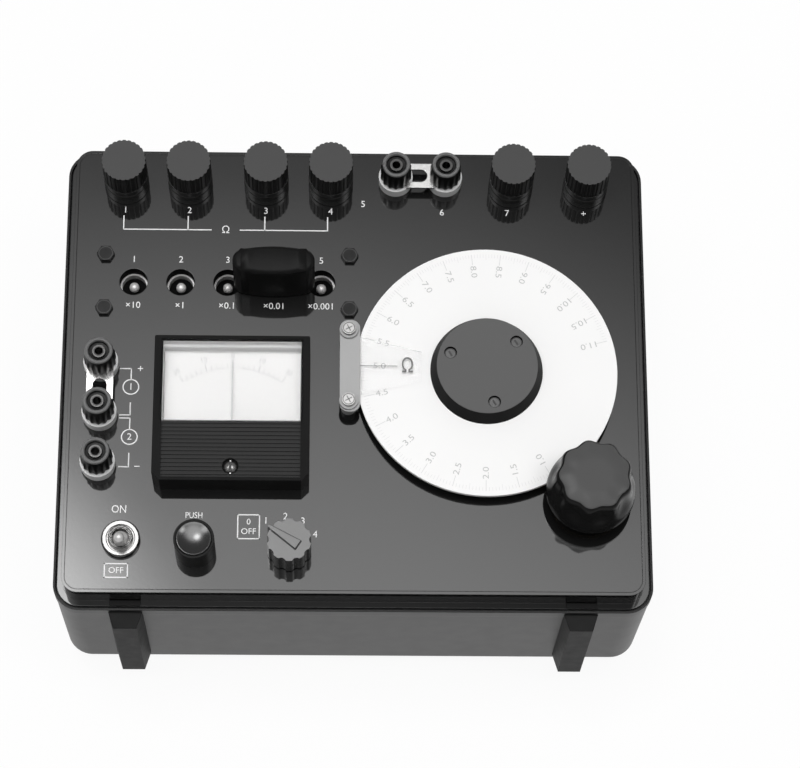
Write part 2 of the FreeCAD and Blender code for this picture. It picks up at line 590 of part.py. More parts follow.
keep("shorting_links", group("shorting_links", [link("pair_link", jacks[0], s.jack_pitch, True),
                                                link("column_link", jacks[2], s.jack_column_pitch, False)]))

# Multiplier sockets, their block and the plug
blockX = (s.bolt_left_x + s.bolt_right_x) / 2
blockY = (s.bolt_back_y + s.bolt_front_y) / 2
blockZ = underZ - s.block_wall
socketFloor = deckZ - s.socket_depth
ring_list = []
pin_list = []
coil_list = []
block_holes = []
for number in range(SOCKETS):
    spot = s.socket_x + number * s.socket_pitch
    panel_hole(f"socket_{number + 1}", s.socket_ring_radius, spot, s.socket_y)
    block_holes.append(rod(f"socket_bore_{number + 1}", s.socket_ring_radius, 2 * s.socket_depth, spot,
                           s.socket_y, socketFloor))
    block_holes.append(rod(f"pin_bore_{number + 1}", s.socket_pin_radius, 2 * s.block_wall, spot, s.socket_y,
                           blockZ - s.block_wall))
    ringBore = s.socket_ring_radius - s.socket_ring_wall
    ring_list.append(turned(f"socket_ring_{number + 1}",
                            [(ringBore, ZERO), (s.socket_ring_radius, ZERO),
                             (s.socket_ring_radius, s.socket_depth - s.ring_drop),
                             (ringBore, s.socket_depth - s.ring_drop)],
                            spot, s.socket_y, socketFloor))
    pinTop = deckZ - s.socket_pin_drop - blockZ
    pin_list.append(turned(f"socket_pin_{number + 1}",
                           [(ZERO, ZERO), (s.socket_pin_radius, ZERO),
                            (s.socket_pin_radius, pinTop - s.socket_pin_radius / 2),
                            (s.socket_pin_radius / 2, pinTop), (ZERO, pinTop)],
                           spot, s.socket_y, blockZ))
    coil_list.append(turned(f"coil_{number + 1}",
                            [(ZERO, ZERO), (s.coil_radius, ZERO), (s.coil_radius, s.coil_flange),
                             (s.coil_core, s.coil_flange), (s.coil_core, s.coil_height - s.coil_flange),
                             (s.coil_radius, s.coil_height - s.coil_flange), (s.coil_radius, s.coil_height),
                             (ZERO, s.coil_height)],
                            spot, s.socket_y, blockZ - s.coil_height))
keep("socket_rings", group("socket_rings", ring_list))
keep("socket_pins", group("socket_pins", pin_list))
keep("ratio_coils", group("ratio_coils", coil_list))

bolts = []
bolt_spots = [(bolt_x, bolt_y) for bolt_x in (s.bolt_left_x, s.bolt_right_x)
              for bolt_y in (s.bolt_back_y, s.bolt_front_y)]
for number, (spot_x, spot_y) in enumerate(bolt_spots, start=1):
    panel_hole(f"bolt_{number}", s.bolt_radius, spot_x, spot_y)
    block_holes.append(rod(f"bolt_bore_{number}", s.bolt_radius, 2 * s.block_wall, spot_x, spot_y,
                           blockZ - s.block_wall / 2))
    head = bind(doc.addObject("Part::Prism", f"bolt_head_{number}"), Polygon=6,
                Circumradius=s.bolt_head_flats / root(sized(3)), Height=s.bolt_head_height)
    place(head, spot_x, spot_y, deckZ)
    shank = rod(f"bolt_shank_{number}", s.bolt_radius, s.plate_wall + s.block_wall, spot_x, spot_y, blockZ)
    bolts.append(joined(f"block_bolt_{number}", [head, shank]))
keep("block_bolts", group("block_bolts", bolts))
blockWidth = s.bolt_right_x - s.bolt_left_x + 2 * s.block_margin
blockDepth = s.bolt_back_y - s.bolt_front_y + 2 * s.block_margin
keep("socket_block", cut("socket_block", block("block_blank", blockWidth, blockDepth, s.block_wall,
                                               blockX, blockY, blockZ), block_holes))

plugX = s.socket_x + s.plug_place * s.socket_pitch
halfWidth = s.plug_width / 2
halfLength = s.plug_length / 2
bow = halfWidth - s.plug_end / 2
bowRadius = (halfLength * halfLength + bow * bow) / (2 * bow)
gripZ = deckZ + s.plug_lift
sides = [rod("grip_side_back", bowRadius, s.plug_height, plugX, s.socket_y - bowRadius + halfWidth, gripZ),
         rod("grip_side_front", bowRadius, s.plug_height, plugX, s.socket_y + bowRadius - halfWidth, gripZ)]
grip_lens = doc.addObject("Part::MultiCommon", "grip_lens")
grip_lens.Shapes = sides + [block("grip_ends", s.plug_length, s.plug_width, s.plug_height, plugX, s.socket_y,
                                  gripZ)]
sleeveRadius = s.socket_ring_radius - s.socket_ring_wall - s.sleeve_gap
sleeveTop = s.plug_height / 2
grip_bore = rod("grip_bore", sleeveRadius, sleeveTop, plugX, s.socket_y, gripZ)
keep("plug_grip", cut("plug_grip", grip_lens, [grip_bore]))
sleeveFoot = socketFloor + s.sleeve_floor_gap
sleeveLength = gripZ + sleeveTop - sleeveFoot
keep("plug_sleeve", turned("plug_sleeve",
                           [(s.sleeve_bore, ZERO), (sleeveRadius, ZERO), (sleeveRadius, sleeveLength),
                            (s.sleeve_bore, sleeveLength)], plugX, s.socket_y, sleeveFoot))

# Meter: case with window and ribbed apron, scale, pointer on its staff, zero screw
meterZ = deckZ
meterTopZ = deckZ + s.meter_height
roomWidth = s.meter_width - 2 * s.meter_wall
roomDepth = s.meter_depth - 2 * s.meter_wall
windowY = s.meter_y + s.meter_depth / 2 - s.window_back - s.window_depth / 2
apronBack = windowY - s.window_depth / 2
apronFront = s.meter_y - s.meter_depth / 2 + s.apron_edge
zeroY = s.meter_y - s.meter_depth / 2 + s.zero_inset
pivotY = s.meter_y - s.meter_depth / 2 + s.pivot_inset
meter_shell = prism("meter_shell",
                    [(s.meter_corner, ZERO), (s.meter_width - s.meter_corner, ZERO),
                     (s.meter_width, s.meter_corner), (s.meter_width, s.meter_depth - s.meter_corner),
                     (s.meter_width - s.meter_corner, s.meter_depth), (s.meter_corner, s.meter_depth),
                     (ZERO, s.meter_depth - s.meter_corner), (ZERO, s.meter_corner)],
                    s.meter_height, s.meter_x - s.meter_width / 2, s.meter_y - s.meter_depth / 2, meterZ)
meter_cuts = [block("meter_room", roomWidth, roomDepth, s.meter_height - s.meter_top, s.meter_x, s.meter_y,
                    meterZ),
              block("meter_opening", roomWidth, s.window_depth, 2 * s.meter_top, s.meter_x, windowY,
                    meterTopZ - s.meter_top - s.rib_depth),
              block("meter_rebate", roomWidth + 2 * s.window_rebate, s.window_depth + 2 * s.window_rebate,
                    2 * s.glass_wall, s.meter_x, windowY, meterTopZ - s.glass_wall),
              rod("zero_recess_hole", s.zero_recess, 2 * s.zero_height, s.meter_x, zeroY,
                  meterTopZ - s.apron_step - s.zero_height),
              rod("zero_stem_hole", s.zero_stem + s.thread_gap, 2 * s.meter_top, s.meter_x, zeroY,
                  meterTopZ - 2 * s.meter_top)]
ribRun = apronBack - s.window_rebate - apronFront
ribs = int(ribRun.value / s.rib_pitch.value)
meter_cuts.append(block("apron_step_cut", roomWidth, ribRun, 2 * s.apron_step, s.meter_x,
                        (apronFront + apronBack - s.window_rebate) / 2, meterTopZ - s.apron_step))
for number in range(ribs):
    meter_cuts.append(block(f"rib_groove_{number + 1}", roomWidth, s.rib_width, 2 * s.rib_depth, s.meter_x,
                            apronFront + (number + 0.5) * s.rib_pitch,
                            meterTopZ - s.apron_step - s.rib_depth))
keep("meter_case", cut("meter_case", meter_shell, [joined("meter_spaces", meter_cuts)]))
keep("meter_window", block("meter_window", roomWidth + 2 * (s.window_rebate - s.glass_gap),
                           s.window_depth + 2 * (s.window_rebate - s.glass_gap), s.glass_wall,
                           s.meter_x, windowY, meterTopZ - s.glass_wall))
scaleWidth = roomWidth - 2 * s.scale_gap
scaleDepth = roomDepth - 2 * s.scale_gap
scale_plate = block("scale_plate", scaleWidth, scaleDepth, s.scale_wall, s.meter_x, s.meter_y,
                    deckZ + s.scale_rise)
rails = [block(f"scale_rail_{number}", s.scale_wall, scaleDepth, s.scale_rise,
               s.meter_x + side * (scaleWidth - s.scale_wall) / 2, s.meter_y, deckZ)
         for number, side in enumerate((-1, 1), start=1)]
scale_hole = rod("scale_hole", s.pivot_clear, 3 * s.scale_wall, s.meter_x, pivotY,
                 deckZ + s.scale_rise - s.scale_wall)
keep("meter_scale", cut("meter_scale", joined("scale_tray", [scale_plate] + rails), [scale_hole]))
panel_hole("meter_pivot", s.pivot_clear, s.meter_x, pivotY)
needleZ = deckZ + s.scale_rise + s.scale_wall + 2 * s.pointer_wall
magnetZ = underZ - s.magnet_height
staffFoot = underZ - s.magnet_bore_depth + s.cap_seat_gap
needle = block("needle", s.pointer_width, s.pointer_length, s.pointer_wall, s.meter_x,
               pivotY + s.pointer_length / 2, needleZ)
staff = rod("staff", s.staff_radius, needleZ - staffFoot + s.pointer_wall, s.meter_x, pivotY, staffFoot)
pointer_hub = rod("pointer_hub", s.pointer_hub, s.pointer_wall, s.meter_x, pivotY, needleZ)
keep("meter_pointer", joined("meter_pointer", [needle, staff, pointer_hub]))
magnet_bore = rod("magnet_bore", s.staff_radius + s.thread_gap, 2 * s.magnet_bore_depth, s.meter_x, pivotY,
                  underZ - s.magnet_bore_depth)
keep("meter_magnet", cut("meter_magnet", rod("magnet_blank", s.magnet_radius, s.magnet_height, s.meter_x,
                                             pivotY, magnetZ), [magnet_bore]))
zeroHeadZ = meterTopZ - s.apron_step - s.zero_height
zero_head = rod("zero_head", s.zero_radius, s.zero_height - s.cap_seat_gap, s.meter_x, zeroY,
                zeroHeadZ + s.cap_seat_gap)
zero_stem = rod("zero_stem_rod", s.zero_stem, s.meter_top, s.meter_x, zeroY, zeroHeadZ - s.meter_top + s.zero_height)
zero_slot = block("zero_slot", s.pointer_width, 3 * s.zero_radius, s.zero_height, s.meter_x, zeroY,
                  zeroHeadZ + s.zero_height - s.rib_depth)
keep("zero_screw", cut("zero_screw", joined("zero_blank", [zero_head, zero_stem]), [zero_slot]))

# Dial on its shaft, with hub, wiper and slide wire
dialZ = deckZ + s.dial_lift
hubZ = dialZ + s.dial_wall
panel_hole("dial", s.bush_radius, s.dial_x, s.dial_y)
hub_screws = []
stem_holes = []
hub_cuts = []
for number, angle in enumerate(HUB_SCREW_ANGLES, start=1):
    turn = FreeCAD.Rotation(FreeCAD.Vector(0, 0, 1), angle).multVec(FreeCAD.Vector(1, 0, 0))
    spot_x = s.dial_x + turn.x * s.hub_screw_ring
    spot_y = s.dial_y + turn.y * s.hub_screw_ring
    headZ = hubZ + s.hub_height - s.hub_screw_sink
    hub_cuts.append(rod(f"hub_recess_{number}", s.hub_screw_recess, 2 * s.hub_screw_sink, spot_x, spot_y, headZ))
    hub_cuts.append(rod(f"hub_stem_hole_{number}", s.hub_screw_stem, s.hub_height, spot_x, spot_y, hubZ))
    stem_holes.append(rod(f"dial_stem_hole_{number}", s.hub_screw_stem, 3 * s.dial_wall, spot_x, spot_y,
                          dialZ - s.dial_wall))
    stemLength = headZ - dialZ
    hub_screws.append(turned(f"hub_screw_{number}",
                             [(ZERO, ZERO), (s.hub_screw_stem, ZERO), (s.hub_screw_stem, stemLength),
                              (s.hub_screw_head, stemLength),
                              (s.hub_screw_head, stemLength + s.hub_screw_sink / 2),
                              (ZERO, stemLength + s.hub_screw_sink / 2)], spot_x, spot_y, dialZ))
dial_disc = turned("dial_disc", [(s.shaft_radius, ZERO), (s.dial_radius, ZERO), (s.dial_radius, s.dial_wall),
                                 (s.shaft_radius, s.dial_wall)], s.dial_x, s.dial_y, dialZ)
keep("dial", cut("dial", dial_disc, stem_holes))
hubBore = s.hub_height - s.dial_wall
hub_blank = turned("hub_blank", [(s.shaft_radius, ZERO), (s.hub_low, ZERO), (s.hub_top, s.hub_height),
                                 (ZERO, s.hub_height), (ZERO, hubBore), (s.shaft_radius, hubBore)],
                   s.dial_x, s.dial_y, hubZ)
keep("dial_hub", cut("dial_hub", hub_blank, [joined("hub_spaces", hub_cuts)]))
keep("hub_screws", group("hub_screws", hub_screws))
webZ = underZ - s.former_depth
shaftFoot = webZ + s.shaft_tail_gap
keep("dial_shaft", rod("dial_shaft", s.shaft_radius, hubZ + hubBore - shaftFoot, s.dial_x, s.dial_y, shaftFoot))
wireZ = webZ + s.former_web
wiperZ = wireZ + 2 * s.wire_radius + s.wire_gap
wiper_boss = rod("wiper_boss", s.wiper_boss, s.wiper_boss_height, s.dial_x, s.dial_y, wiperZ)
wiper_strip = block("wiper_strip", s.wire_ring + 2 * s.wire_radius, s.wiper_width, s.wiper_wall,
                    s.dial_x - (s.wire_ring + 2 * s.wire_radius) / 2, s.dial_y, wiperZ)
wiper_bore = rod("wiper_bore", s.shaft_radius, 3 * s.wiper_boss_height, s.dial_x, s.dial_y,
                 wiperZ - s.wiper_boss_height)
keep("wiper_arm", cut("wiper_arm", joined("wiper_blank", [wiper_boss, wiper_strip]), [wiper_bore]))
keep("slidewire_former", turned("slidewire_former",
                                [(s.shaft_radius + s.wire_gap, ZERO), (s.former_radius, ZERO),
                                 (s.former_radius, s.former_depth),
                                 (s.former_radius - s.former_wall, s.former_depth),
                                 (s.former_radius - s.former_wall, s.former_web),
                                 (s.shaft_radius + s.wire_gap, s.former_web)], s.dial_x, s.dial_y, webZ))
wire = bind(doc.addObject("Part::Torus", "slidewire"), Radius1=s.wire_ring, Radius2=s.wire_radius,
            Angle3=WIRE_SWEEP)
keep("slidewire", place(wire, s.dial_x, s.dial_y, wireZ + s.wire_radius, (360 - WIRE_SWEEP) / 2))


def bush(name, bore, radius, flange, top, x, y):
    rise = s.bush_tail + s.plate_wall + top
    return turned(name, [(bore, ZERO), (radius, ZERO), (radius, s.bush_tail - s.bush_flange_wall),
                         (flange, s.bush_tail - s.bush_flange_wall), (flange, s.bush_tail),
                         (radius, s.bush_tail), (radius, rise), (bore, rise)], x, y, underZ - s.bush_tail)


# Drive knob: its grooved roller grips the dial's rim
gapX = s.drive_x - s.dial_x
gapY = s.drive_y - s.dial_y
axisGap = root(gapX * gapX + gapY * gapY)
rollerCore = axisGap - s.dial_radius - s.roller_gap
cheekRadius = rollerCore + s.roller_bite
cheekZ = dialZ - s.roller_side_gap - s.roller_cheek
panel_hole("drive", s.drive_bush_radius, s.drive_x, s.drive_y)
grooveWidth = s.dial_wall + 2 * s.roller_side_gap
knobZ = deckZ + s.knob_lift
driveFoot = underZ - s.drive_shaft_tail
rollerFoot = cheekZ - driveFoot
shaftLength = knobZ + s.knob_bore_depth - driveFoot
keep("drive_roller", turned("drive_roller",
                            [(ZERO, ZERO), (s.drive_shaft_radius, ZERO), (s.drive_shaft_radius, rollerFoot),
                             (cheekRadius, rollerFoot), (cheekRadius, rollerFoot + s.roller_cheek),
                             (rollerCore, rollerFoot + s.roller_cheek),
                             (rollerCore, rollerFoot + s.roller_cheek + grooveWidth),
                             (cheekRadius, rollerFoot + s.roller_cheek + grooveWidth),
                             (cheekRadius, rollerFoot + 2 * s.roller_cheek + grooveWidth),
                             (s.drive_shaft_radius, rollerFoot + 2 * s.roller_cheek + grooveWidth),
                             (s.drive_shaft_radius, shaftLength), (ZERO, shaftLength)],
                            s.drive_x, s.drive_y, driveFoot))
keep("shaft_bushes", group("shaft_bushes", [
    bush("dial_bush", s.shaft_radius + s.shaft_gap, s.bush_radius, s.bush_flange,
         s.dial_lift - s.bush_top_gap, s.dial_x, s.dial_y),
    bush("drive_bush", s.drive_shaft_radius + s.shaft_gap, s.drive_bush_radius, s.bush_flange,
         cheekZ - deckZ - s.bush_top_gap, s.drive_x, s.drive_y)]))
knob_skirt = turned("knob_skirt",
                    [(s.drive_shaft_radius, ZERO), (s.knob_skirt_radius, ZERO),
                     (s.knob_skirt_radius - s.knob_round, s.knob_skirt_height),
                     (s.drive_shaft_radius, s.knob_skirt_height)], s.drive_x, s.drive_y, knobZ)
gripHeight = s.knob_height - s.knob_skirt_height
gripBore = s.knob_bore_depth - s.knob_skirt_height
knob_grip = turned("knob_grip",
                   [(s.drive_shaft_radius, ZERO), (s.knob_grip_low, ZERO),
                    (s.knob_grip_top, gripHeight - s.knob_round),
                    (s.knob_grip_top - s.knob_round, gripHeight), (ZERO, gripHeight), (ZERO, gripBore),
                    (s.drive_shaft_radius, gripBore)],
                   s.drive_x, s.drive_y, knobZ + s.knob_skirt_height)
flute(knob_grip, "knob_grip", s.knob_grip_low + s.knob_flute_radius - s.knob_flute_depth, s.knob_flute_radius,
      s.knob_flutes, 2 * s.knob_height)
keep("drive_knob", joined("drive_knob", [knob_skirt, knob_grip]))

# Cursor: bracket on two posts beside the dial, clear tongue over the scale
cursorZ = deckZ + s.cursor_lift
cursorMidY = (s.cursor_back_y + s.cursor_front_y) / 2
plateWidth = s.cursor_plate_left + s.cursor_plate_right
plateDepth = s.cursor_back_y - s.cursor_front_y + 2 * s.cursor_plate_end
plateX = s.cursor_x + (s.cursor_plate_right - s.cursor_plate_left) / 2
cursor_pieces = [rounded_block("cursor_plate", plateWidth, plateDepth, s.cursor_wall,
                               s.cursor_plate_left - s.plate_gap, plateX, cursorMidY, cursorZ)]
cursor_cuts = []
cursor_screws = []
for number, spot_y in enumerate((s.cursor_back_y, s.cursor_front_y), start=1):
    cursor_pieces.append(rod(f"cursor_post_{number}", s.cursor_post_radius, s.cursor_lift, s.cursor_x, spot_y,
                             deckZ))
    bossTop = s.cursor_wall + s.cursor_boss_height
    cursor_pieces.append(rod(f"cursor_boss_{number}", s.cursor_boss_radius, bossTop, s.cursor_x, spot_y, cursorZ))
    cursor_cuts.append(rod(f"cursor_bore_{number}", s.cursor_stem, 3 * s.cursor_lift, s.cursor_x, spot_y,
                           deckZ - s.cursor_lift))
    panel_hole(f"cursor_{number}", s.cursor_stem, s.cursor_x, spot_y)
    screwLength = s.plate_wall + s.cursor_lift + bossTop
    cursor_screws.append(turned(f"cursor_screw_{number}",
                                [(ZERO, ZERO), (s.cursor_stem, ZERO), (s.cursor_stem, screwLength),
                                 (s.cursor_head_radius, screwLength),
                                 (s.cursor_head_radius, screwLength + s.cursor_head_height),
                                 (ZERO, screwLength + s.cursor_head_height)], s.cursor_x, spot_y, underZ))
keep("cursor_bracket", cut("cursor_bracket", joined("cursor_solid", cursor_pieces), cursor_cuts))
keep("cursor_screws", group("cursor_screws", cursor_screws))
rootX = s.cursor_x + s.cursor_plate_right
halfRoot = s.tongue_root / 2
halfTip = s.tongue_tip / 2
keep("cursor_window", prism("cursor_window",
                            [(ZERO, ZERO), (s.tongue_reach, halfRoot - halfTip),
                             (s.tongue_reach, halfRoot + halfTip), (ZERO, s.tongue_root)],
                            s.tongue_wall, rootX, s.cursor_line_y - halfRoot, cursorZ))

# Toggle switch
panel_hole("toggle", s.toggle_bush_radius, s.toggle_x, s.toggle_y)
bodyZ = underZ - s.toggle_body_height
pivotZ = deckZ + s.toggle_pivot
toggle_case = block("toggle_case", s.toggle_body_width, s.toggle_body_depth, s.toggle_body_height,
                    s.toggle_x, s.toggle_y, bodyZ)
toggle_bush = rod("toggle_bush", s.toggle_bush_radius, s.plate_wall + s.toggle_bush_rise, s.toggle_x,
                  s.toggle_y, underZ)
toggle_bore = rod("toggle_bore_hole", s.toggle_bore, 4 * s.toggle_bush_rise, s.toggle_x, s.toggle_y,
                  pivotZ - s.toggle_bore)
keep("toggle_body", cut("toggle_body", joined("toggle_blank", [toggle_case, toggle_bush]), [toggle_bore]))
keep("toggle_nut", turned("toggle_nut",
                          [(s.toggle_bush_radius, ZERO), (s.toggle_nut_radius, ZERO),
                           (s.toggle_nut_radius, s.toggle_nut_height / 2),
                           (s.toggle_nut_radius - s.toggle_nut_height / 2, s.toggle_nut_height),
                           (s.toggle_bush_radius, s.toggle_nut_height)], s.toggle_x, s.toggle_y, deckZ))
lever_ball = bind(doc.addObject("Part::Sphere", "lever_ball"), Radius=s.toggle_ball)
lever_stem = bind(doc.addObject("Part::Cone", "lever_stem"), Radius1=s.lever_low, Radius2=s.lever_top,
                  Height=s.lever_length)
lever_tip = bind(doc.addObject("Part::Sphere", "lever_tip"), Radius=s.lever_tip)
lever_tip.setExpression("Placement.Base.z", s.lever_length.text)
lever = joined("toggle_lever", [lever_ball, lever_stem, lever_tip])
place(lever, s.toggle_x, s.toggle_y, pivotZ)
lever.Placement = FreeCAD.Placement(lever.Placement.Base,
                                    FreeCAD.Rotation(FreeCAD.Vector(1, 0, 0), s.lever_tilt.value))
lever.setExpression("Placement.Rotation.Angle", s.lever_tilt.text)
keep("toggle_lever", lever)

# Push button in its collar
buttonBore = s.button_radius + s.button_gap
buttonFloor = s.button_tail - s.button_travel - s.slide_gap
panel_hole("button", s.button_neck, s.button_x, s.button_y)
tailRoom = s.button_tail + s.plate_wall
stemBore = s.button_stem + s.button_gap
keep("button_housing", turned("button_housing",
                              [(stemBore, ZERO), (s.button_nut_radius, ZERO),
                               (s.button_nut_radius, s.button_tail), (s.button_neck, s.button_tail),
                               (s.button_neck, tailRoom), (s.button_collar, tailRoom),
                               (s.button_collar, tailRoom + s.button_collar_rise),
                               (buttonBore, tailRoom + s.button_collar_rise), (buttonBore, buttonFloor),
                               (stemBore, buttonFloor)],
                              s.button_x, s.button_y, underZ - s.button_tail))
buttonFoot = deckZ + s.button_rise - underZ + s.button_tail
dishRadius = s.button_radius - s.button_edge
dish = []
for step in range(DISH_STEPS):
    share = 1 - step / DISH_STEPS
    dish.append((dishRadius * share, buttonFoot - s.button_dish * (1 - share * share)))
keep("push_button", turned("push_button",
                           [(ZERO, ZERO), (s.button_stem, ZERO), (s.button_stem, s.button_tail),
                            (s.button_radius, s.button_tail), (s.button_radius, buttonFoot),
                            *dish, (ZERO, buttonFoot - s.button_dish)],
                           s.button_x, s.button_y, underZ - s.button_tail))

# Selector: switch body under the panel, fluted knob with a wedge pointer
panel_hole("selector", s.selector_neck, s.selector_x, s.selector_y)
keep("selector_body", turned("selector_body",
                             [(s.selector_shaft + s.shaft_gap, ZERO), (s.selector_body_radius, ZERO),
                              (s.selector_body_radius, s.selector_body_height),
                              (s.selector_neck, s.selector_body_height),
                              (s.selector_neck, s.selector_body_height + s.plate_wall + s.selector_lift / 2),
                              (s.selector_shaft + s.shaft_gap,
                               s.selector_body_height + s.plate_wall + s.selector_lift / 2)],
                             s.selector_x, s.selector_y, underZ - s.selector_body_height))
shaftRun = s.selector_body_height + s.plate_wall + s.selector_lift
knob_turned = turned("selector_turned",
                     [(ZERO, ZERO), (s.selector_shaft, ZERO), (s.selector_shaft, shaftRun),
                      (s.selector_radius, shaftRun), (s.selector_radius, shaftRun + s.selector_height),
                      (ZERO, shaftRun + s.selector_height)],
                     s.selector_x, s.selector_y, underZ - s.selector_body_height)
flute(knob_turned, "selector_turned",
      s.selector_radius + s.selector_flute_radius - s.selector_flute_depth, s.selector_flute_radius,
      s.selector_flutes, 3 * s.selector_height + 2 * s.selector_body_height)
wedge = prism("selector_wedge",
              [(ZERO, ZERO), (s.pointer_tail_reach + s.pointer_tip_reach,
                              (s.pointer_tail_width - s.pointer_tip_width) / 2),
               (s.pointer_tail_reach + s.pointer_tip_reach,
                (s.pointer_tail_width + s.pointer_tip_width) / 2), (ZERO, s.pointer_tail_width)],
              s.selector_height + s.pointer_rise)
wedge.Placement = FreeCAD.Placement()
for axis, shift in (("x", -s.pointer_tail_reach), ("y", -s.pointer_tail_width / 2)):
    wedge.setExpression("Placement.Base." + axis, shift.text)
wedge.setExpression("Placement.Base.z", None)
pointer = place(group("selector_pointer", [wedge]), s.selector_x, s.selector_y, deckZ + s.selector_lift,
                s.selector_angle)
keep("selector_knob", joined("selector_knob", [knob_turned, pointer]))

# Panel plate, with the holes gathered above
plate_blank = rounded_block("plate_blank", s.case_width - 2 * (seatInset + s.plate_gap),
                            s.case_depth - 2 * (seatInset + s.plate_gap), s.plate_wall,
                            s.deck_corner - s.frame_rim - s.plate_gap, z=underZ)
keep("panel_plate", cut("panel_plate", plate_blank, holes))

doc.recompute()
failed = [obj.Name for obj in doc.Objects if {"Invalid", "Error"} & set(obj.State)]
if failed:
    raise RuntimeError("failed objects: " + ", ".join(failed))
for node in nodes:
    if node.Shape.isNull() or not node.Shape.isValid() or not node.Shape.Solids:
        raise RuntimeError("bad shape: " + node.Label)

os.makedirs("parts", exist_ok=True)
for node in nodes:
    node.Shape.exportStep(os.path.join("parts", node.Label + ".step"))
    box = node.Shape.BoundBox
    print(f"{node.Label}: {len(node.Shape.Solids)} solids, {node.Shape.Volume:.1f} mm3, "
          f"z {box.ZMin:.2f} to {box.ZMax:.2f}")
print(len(nodes), "nodes")
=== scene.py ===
import json
import math

import bmesh
import bpy
from mathutils import Matrix, Vector


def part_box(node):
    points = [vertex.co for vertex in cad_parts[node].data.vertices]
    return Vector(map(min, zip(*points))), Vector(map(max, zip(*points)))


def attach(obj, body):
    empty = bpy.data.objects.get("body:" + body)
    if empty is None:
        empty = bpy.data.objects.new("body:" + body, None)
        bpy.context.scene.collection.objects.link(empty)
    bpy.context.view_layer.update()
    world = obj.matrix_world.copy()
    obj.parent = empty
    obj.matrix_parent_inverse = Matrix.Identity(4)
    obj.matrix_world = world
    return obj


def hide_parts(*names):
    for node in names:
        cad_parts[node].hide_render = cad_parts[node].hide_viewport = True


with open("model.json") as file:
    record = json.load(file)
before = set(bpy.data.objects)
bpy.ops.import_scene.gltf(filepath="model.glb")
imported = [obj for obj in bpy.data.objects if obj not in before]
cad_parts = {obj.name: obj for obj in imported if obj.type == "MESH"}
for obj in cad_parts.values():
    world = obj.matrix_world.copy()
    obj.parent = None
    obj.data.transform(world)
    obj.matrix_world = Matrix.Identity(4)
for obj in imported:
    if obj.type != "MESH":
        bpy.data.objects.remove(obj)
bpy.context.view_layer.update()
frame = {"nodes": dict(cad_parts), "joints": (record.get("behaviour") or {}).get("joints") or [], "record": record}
mm = 0.001
fullTurn = 2 * math.pi
weldGap = 0.002 * mm
softAngle = math.radians(32)  # flatter edges than this are shaded smooth
roundSteps = 48  # flats in a turned piece or a printed ring
capNumbers = range(1, 7)
jackNumbers = range(1, 6)
print("frame loaded:", len(frame["nodes"]), "nodes")


class Wire:  # one socket of a node tree, with the arithmetic that the finishes need
    def __init__(self, board, socket):
        self.board = board
        self.socket = socket

    def __add__(self, other):
        return self.board.maths("ADD", self, other)

    def __mul__(self, other):
        return self.board.maths("MULTIPLY", self, other)

    __radd__ = __add__


class Board:  # a node tree and the one way that nodes are put into it
    def __init__(self, tree):
        self.tree = tree

    def node(self, kind, settings=None, sockets=None, out=0):
        item = self.tree.nodes.new(kind)
        for key, value in (settings or {}).items():
            setattr(item, key, value)
        for key, value in (sockets or {}).items():
            self.feed(item.inputs[key], value)
        return Wire(self, item.outputs[out]) if item.outputs else None

    def feed(self, socket, value):
        if isinstance(value, Wire):
            self.tree.links.new(value.socket, socket)
        else:
            socket.default_value = value

    def maths(self, operation, first, second):
        return self.node("ShaderNodeMath", {"operation": operation}, {0: first, 1: second})

    def noise(self, size, detail):
        where = self.node("ShaderNodeTexCoord", out="Object")
        return self.node("ShaderNodeTexNoise", None,
                         {"Vector": where, "Scale": 1.0 / size, "Detail": detail})

    def axes(self):
        where = self.node("ShaderNodeTexCoord", out="Object")
        split = self.node("ShaderNodeSeparateXYZ", None, {0: where}).socket.node
        return [Wire(self, axis) for axis in split.outputs]

    def between(self, value, low, high):
        return self.maths("GREATER_THAN", value, low) * self.maths("LESS_THAN", value, high)

    def blend(self, factor, first, second):
        return self.node("ShaderNodeMix", {"data_type": "RGBA"},
                         {"Factor": factor, "A": first, "B": second}, out="Result")


def grey(tone, warmth=0.0):
    return (tone * (1 + warmth), tone, tone * (1 - warmth), 1.0)


noiseDetail = {"cloud": 4.0, "scuff": 6.0, "grain": 2.0}
edgeSamples = 4


def plainAllOver(board):
    return []


def surface(name, look):
    # clouded tone and gloss, fine grain, and edges that catch the light
    finish = bpy.data.materials.new(name)
    finish.use_nodes = True
    shader = finish.node_tree.nodes["Principled BSDF"]
    for key, value in look.get("fixed", {}).items():
        shader.inputs[key].default_value = value
    board = Board(finish.node_tree)
    clouds = board.noise(look["cloudSize"], noiseDetail["cloud"])
    scuffs = board.noise(look["scuffSize"], noiseDetail["scuff"])
    grain = board.noise(look["grainSize"], noiseDetail["grain"])
    colour = board.blend(clouds, look["tone"], look["paler"])
    # zones recolour parts of the surface; some zones are the part's own two tones, some are painted light, some
    # painted shade
    for mask, tone in look.get("zones", plainAllOver)(board):
        colour = board.blend(mask, colour, tone)
    board.feed(shader.inputs["Base Color"], colour)
    smooth, rough = look["gloss"]
    board.feed(shader.inputs["Roughness"], smooth + scuffs * (rough - smooth))
    rounded = board.node("ShaderNodeBevel", {"samples": edgeSamples}, {"Radius": look["edge"]})
    board.feed(shader.inputs["Normal"], board.node(
        "ShaderNodeBump", None,
        {"Height": grain, "Distance": look["grainDepth"], "Strength": 1.0, "Normal": rounded}))
    return finish


meterZones = {
    "wall": 4.25 * mm, "windowBack": 2.6 * mm, "windowDepth": 40.5 * mm, "glass": 1.5 * mm,
    "apronEdge": 1.6 * mm, "apronDrop": 2.0 * mm, "slack": 0.1 * mm,
    "apronTone": grey(0.035), "liningWithPaintedShadeTone": grey(0.70),
}


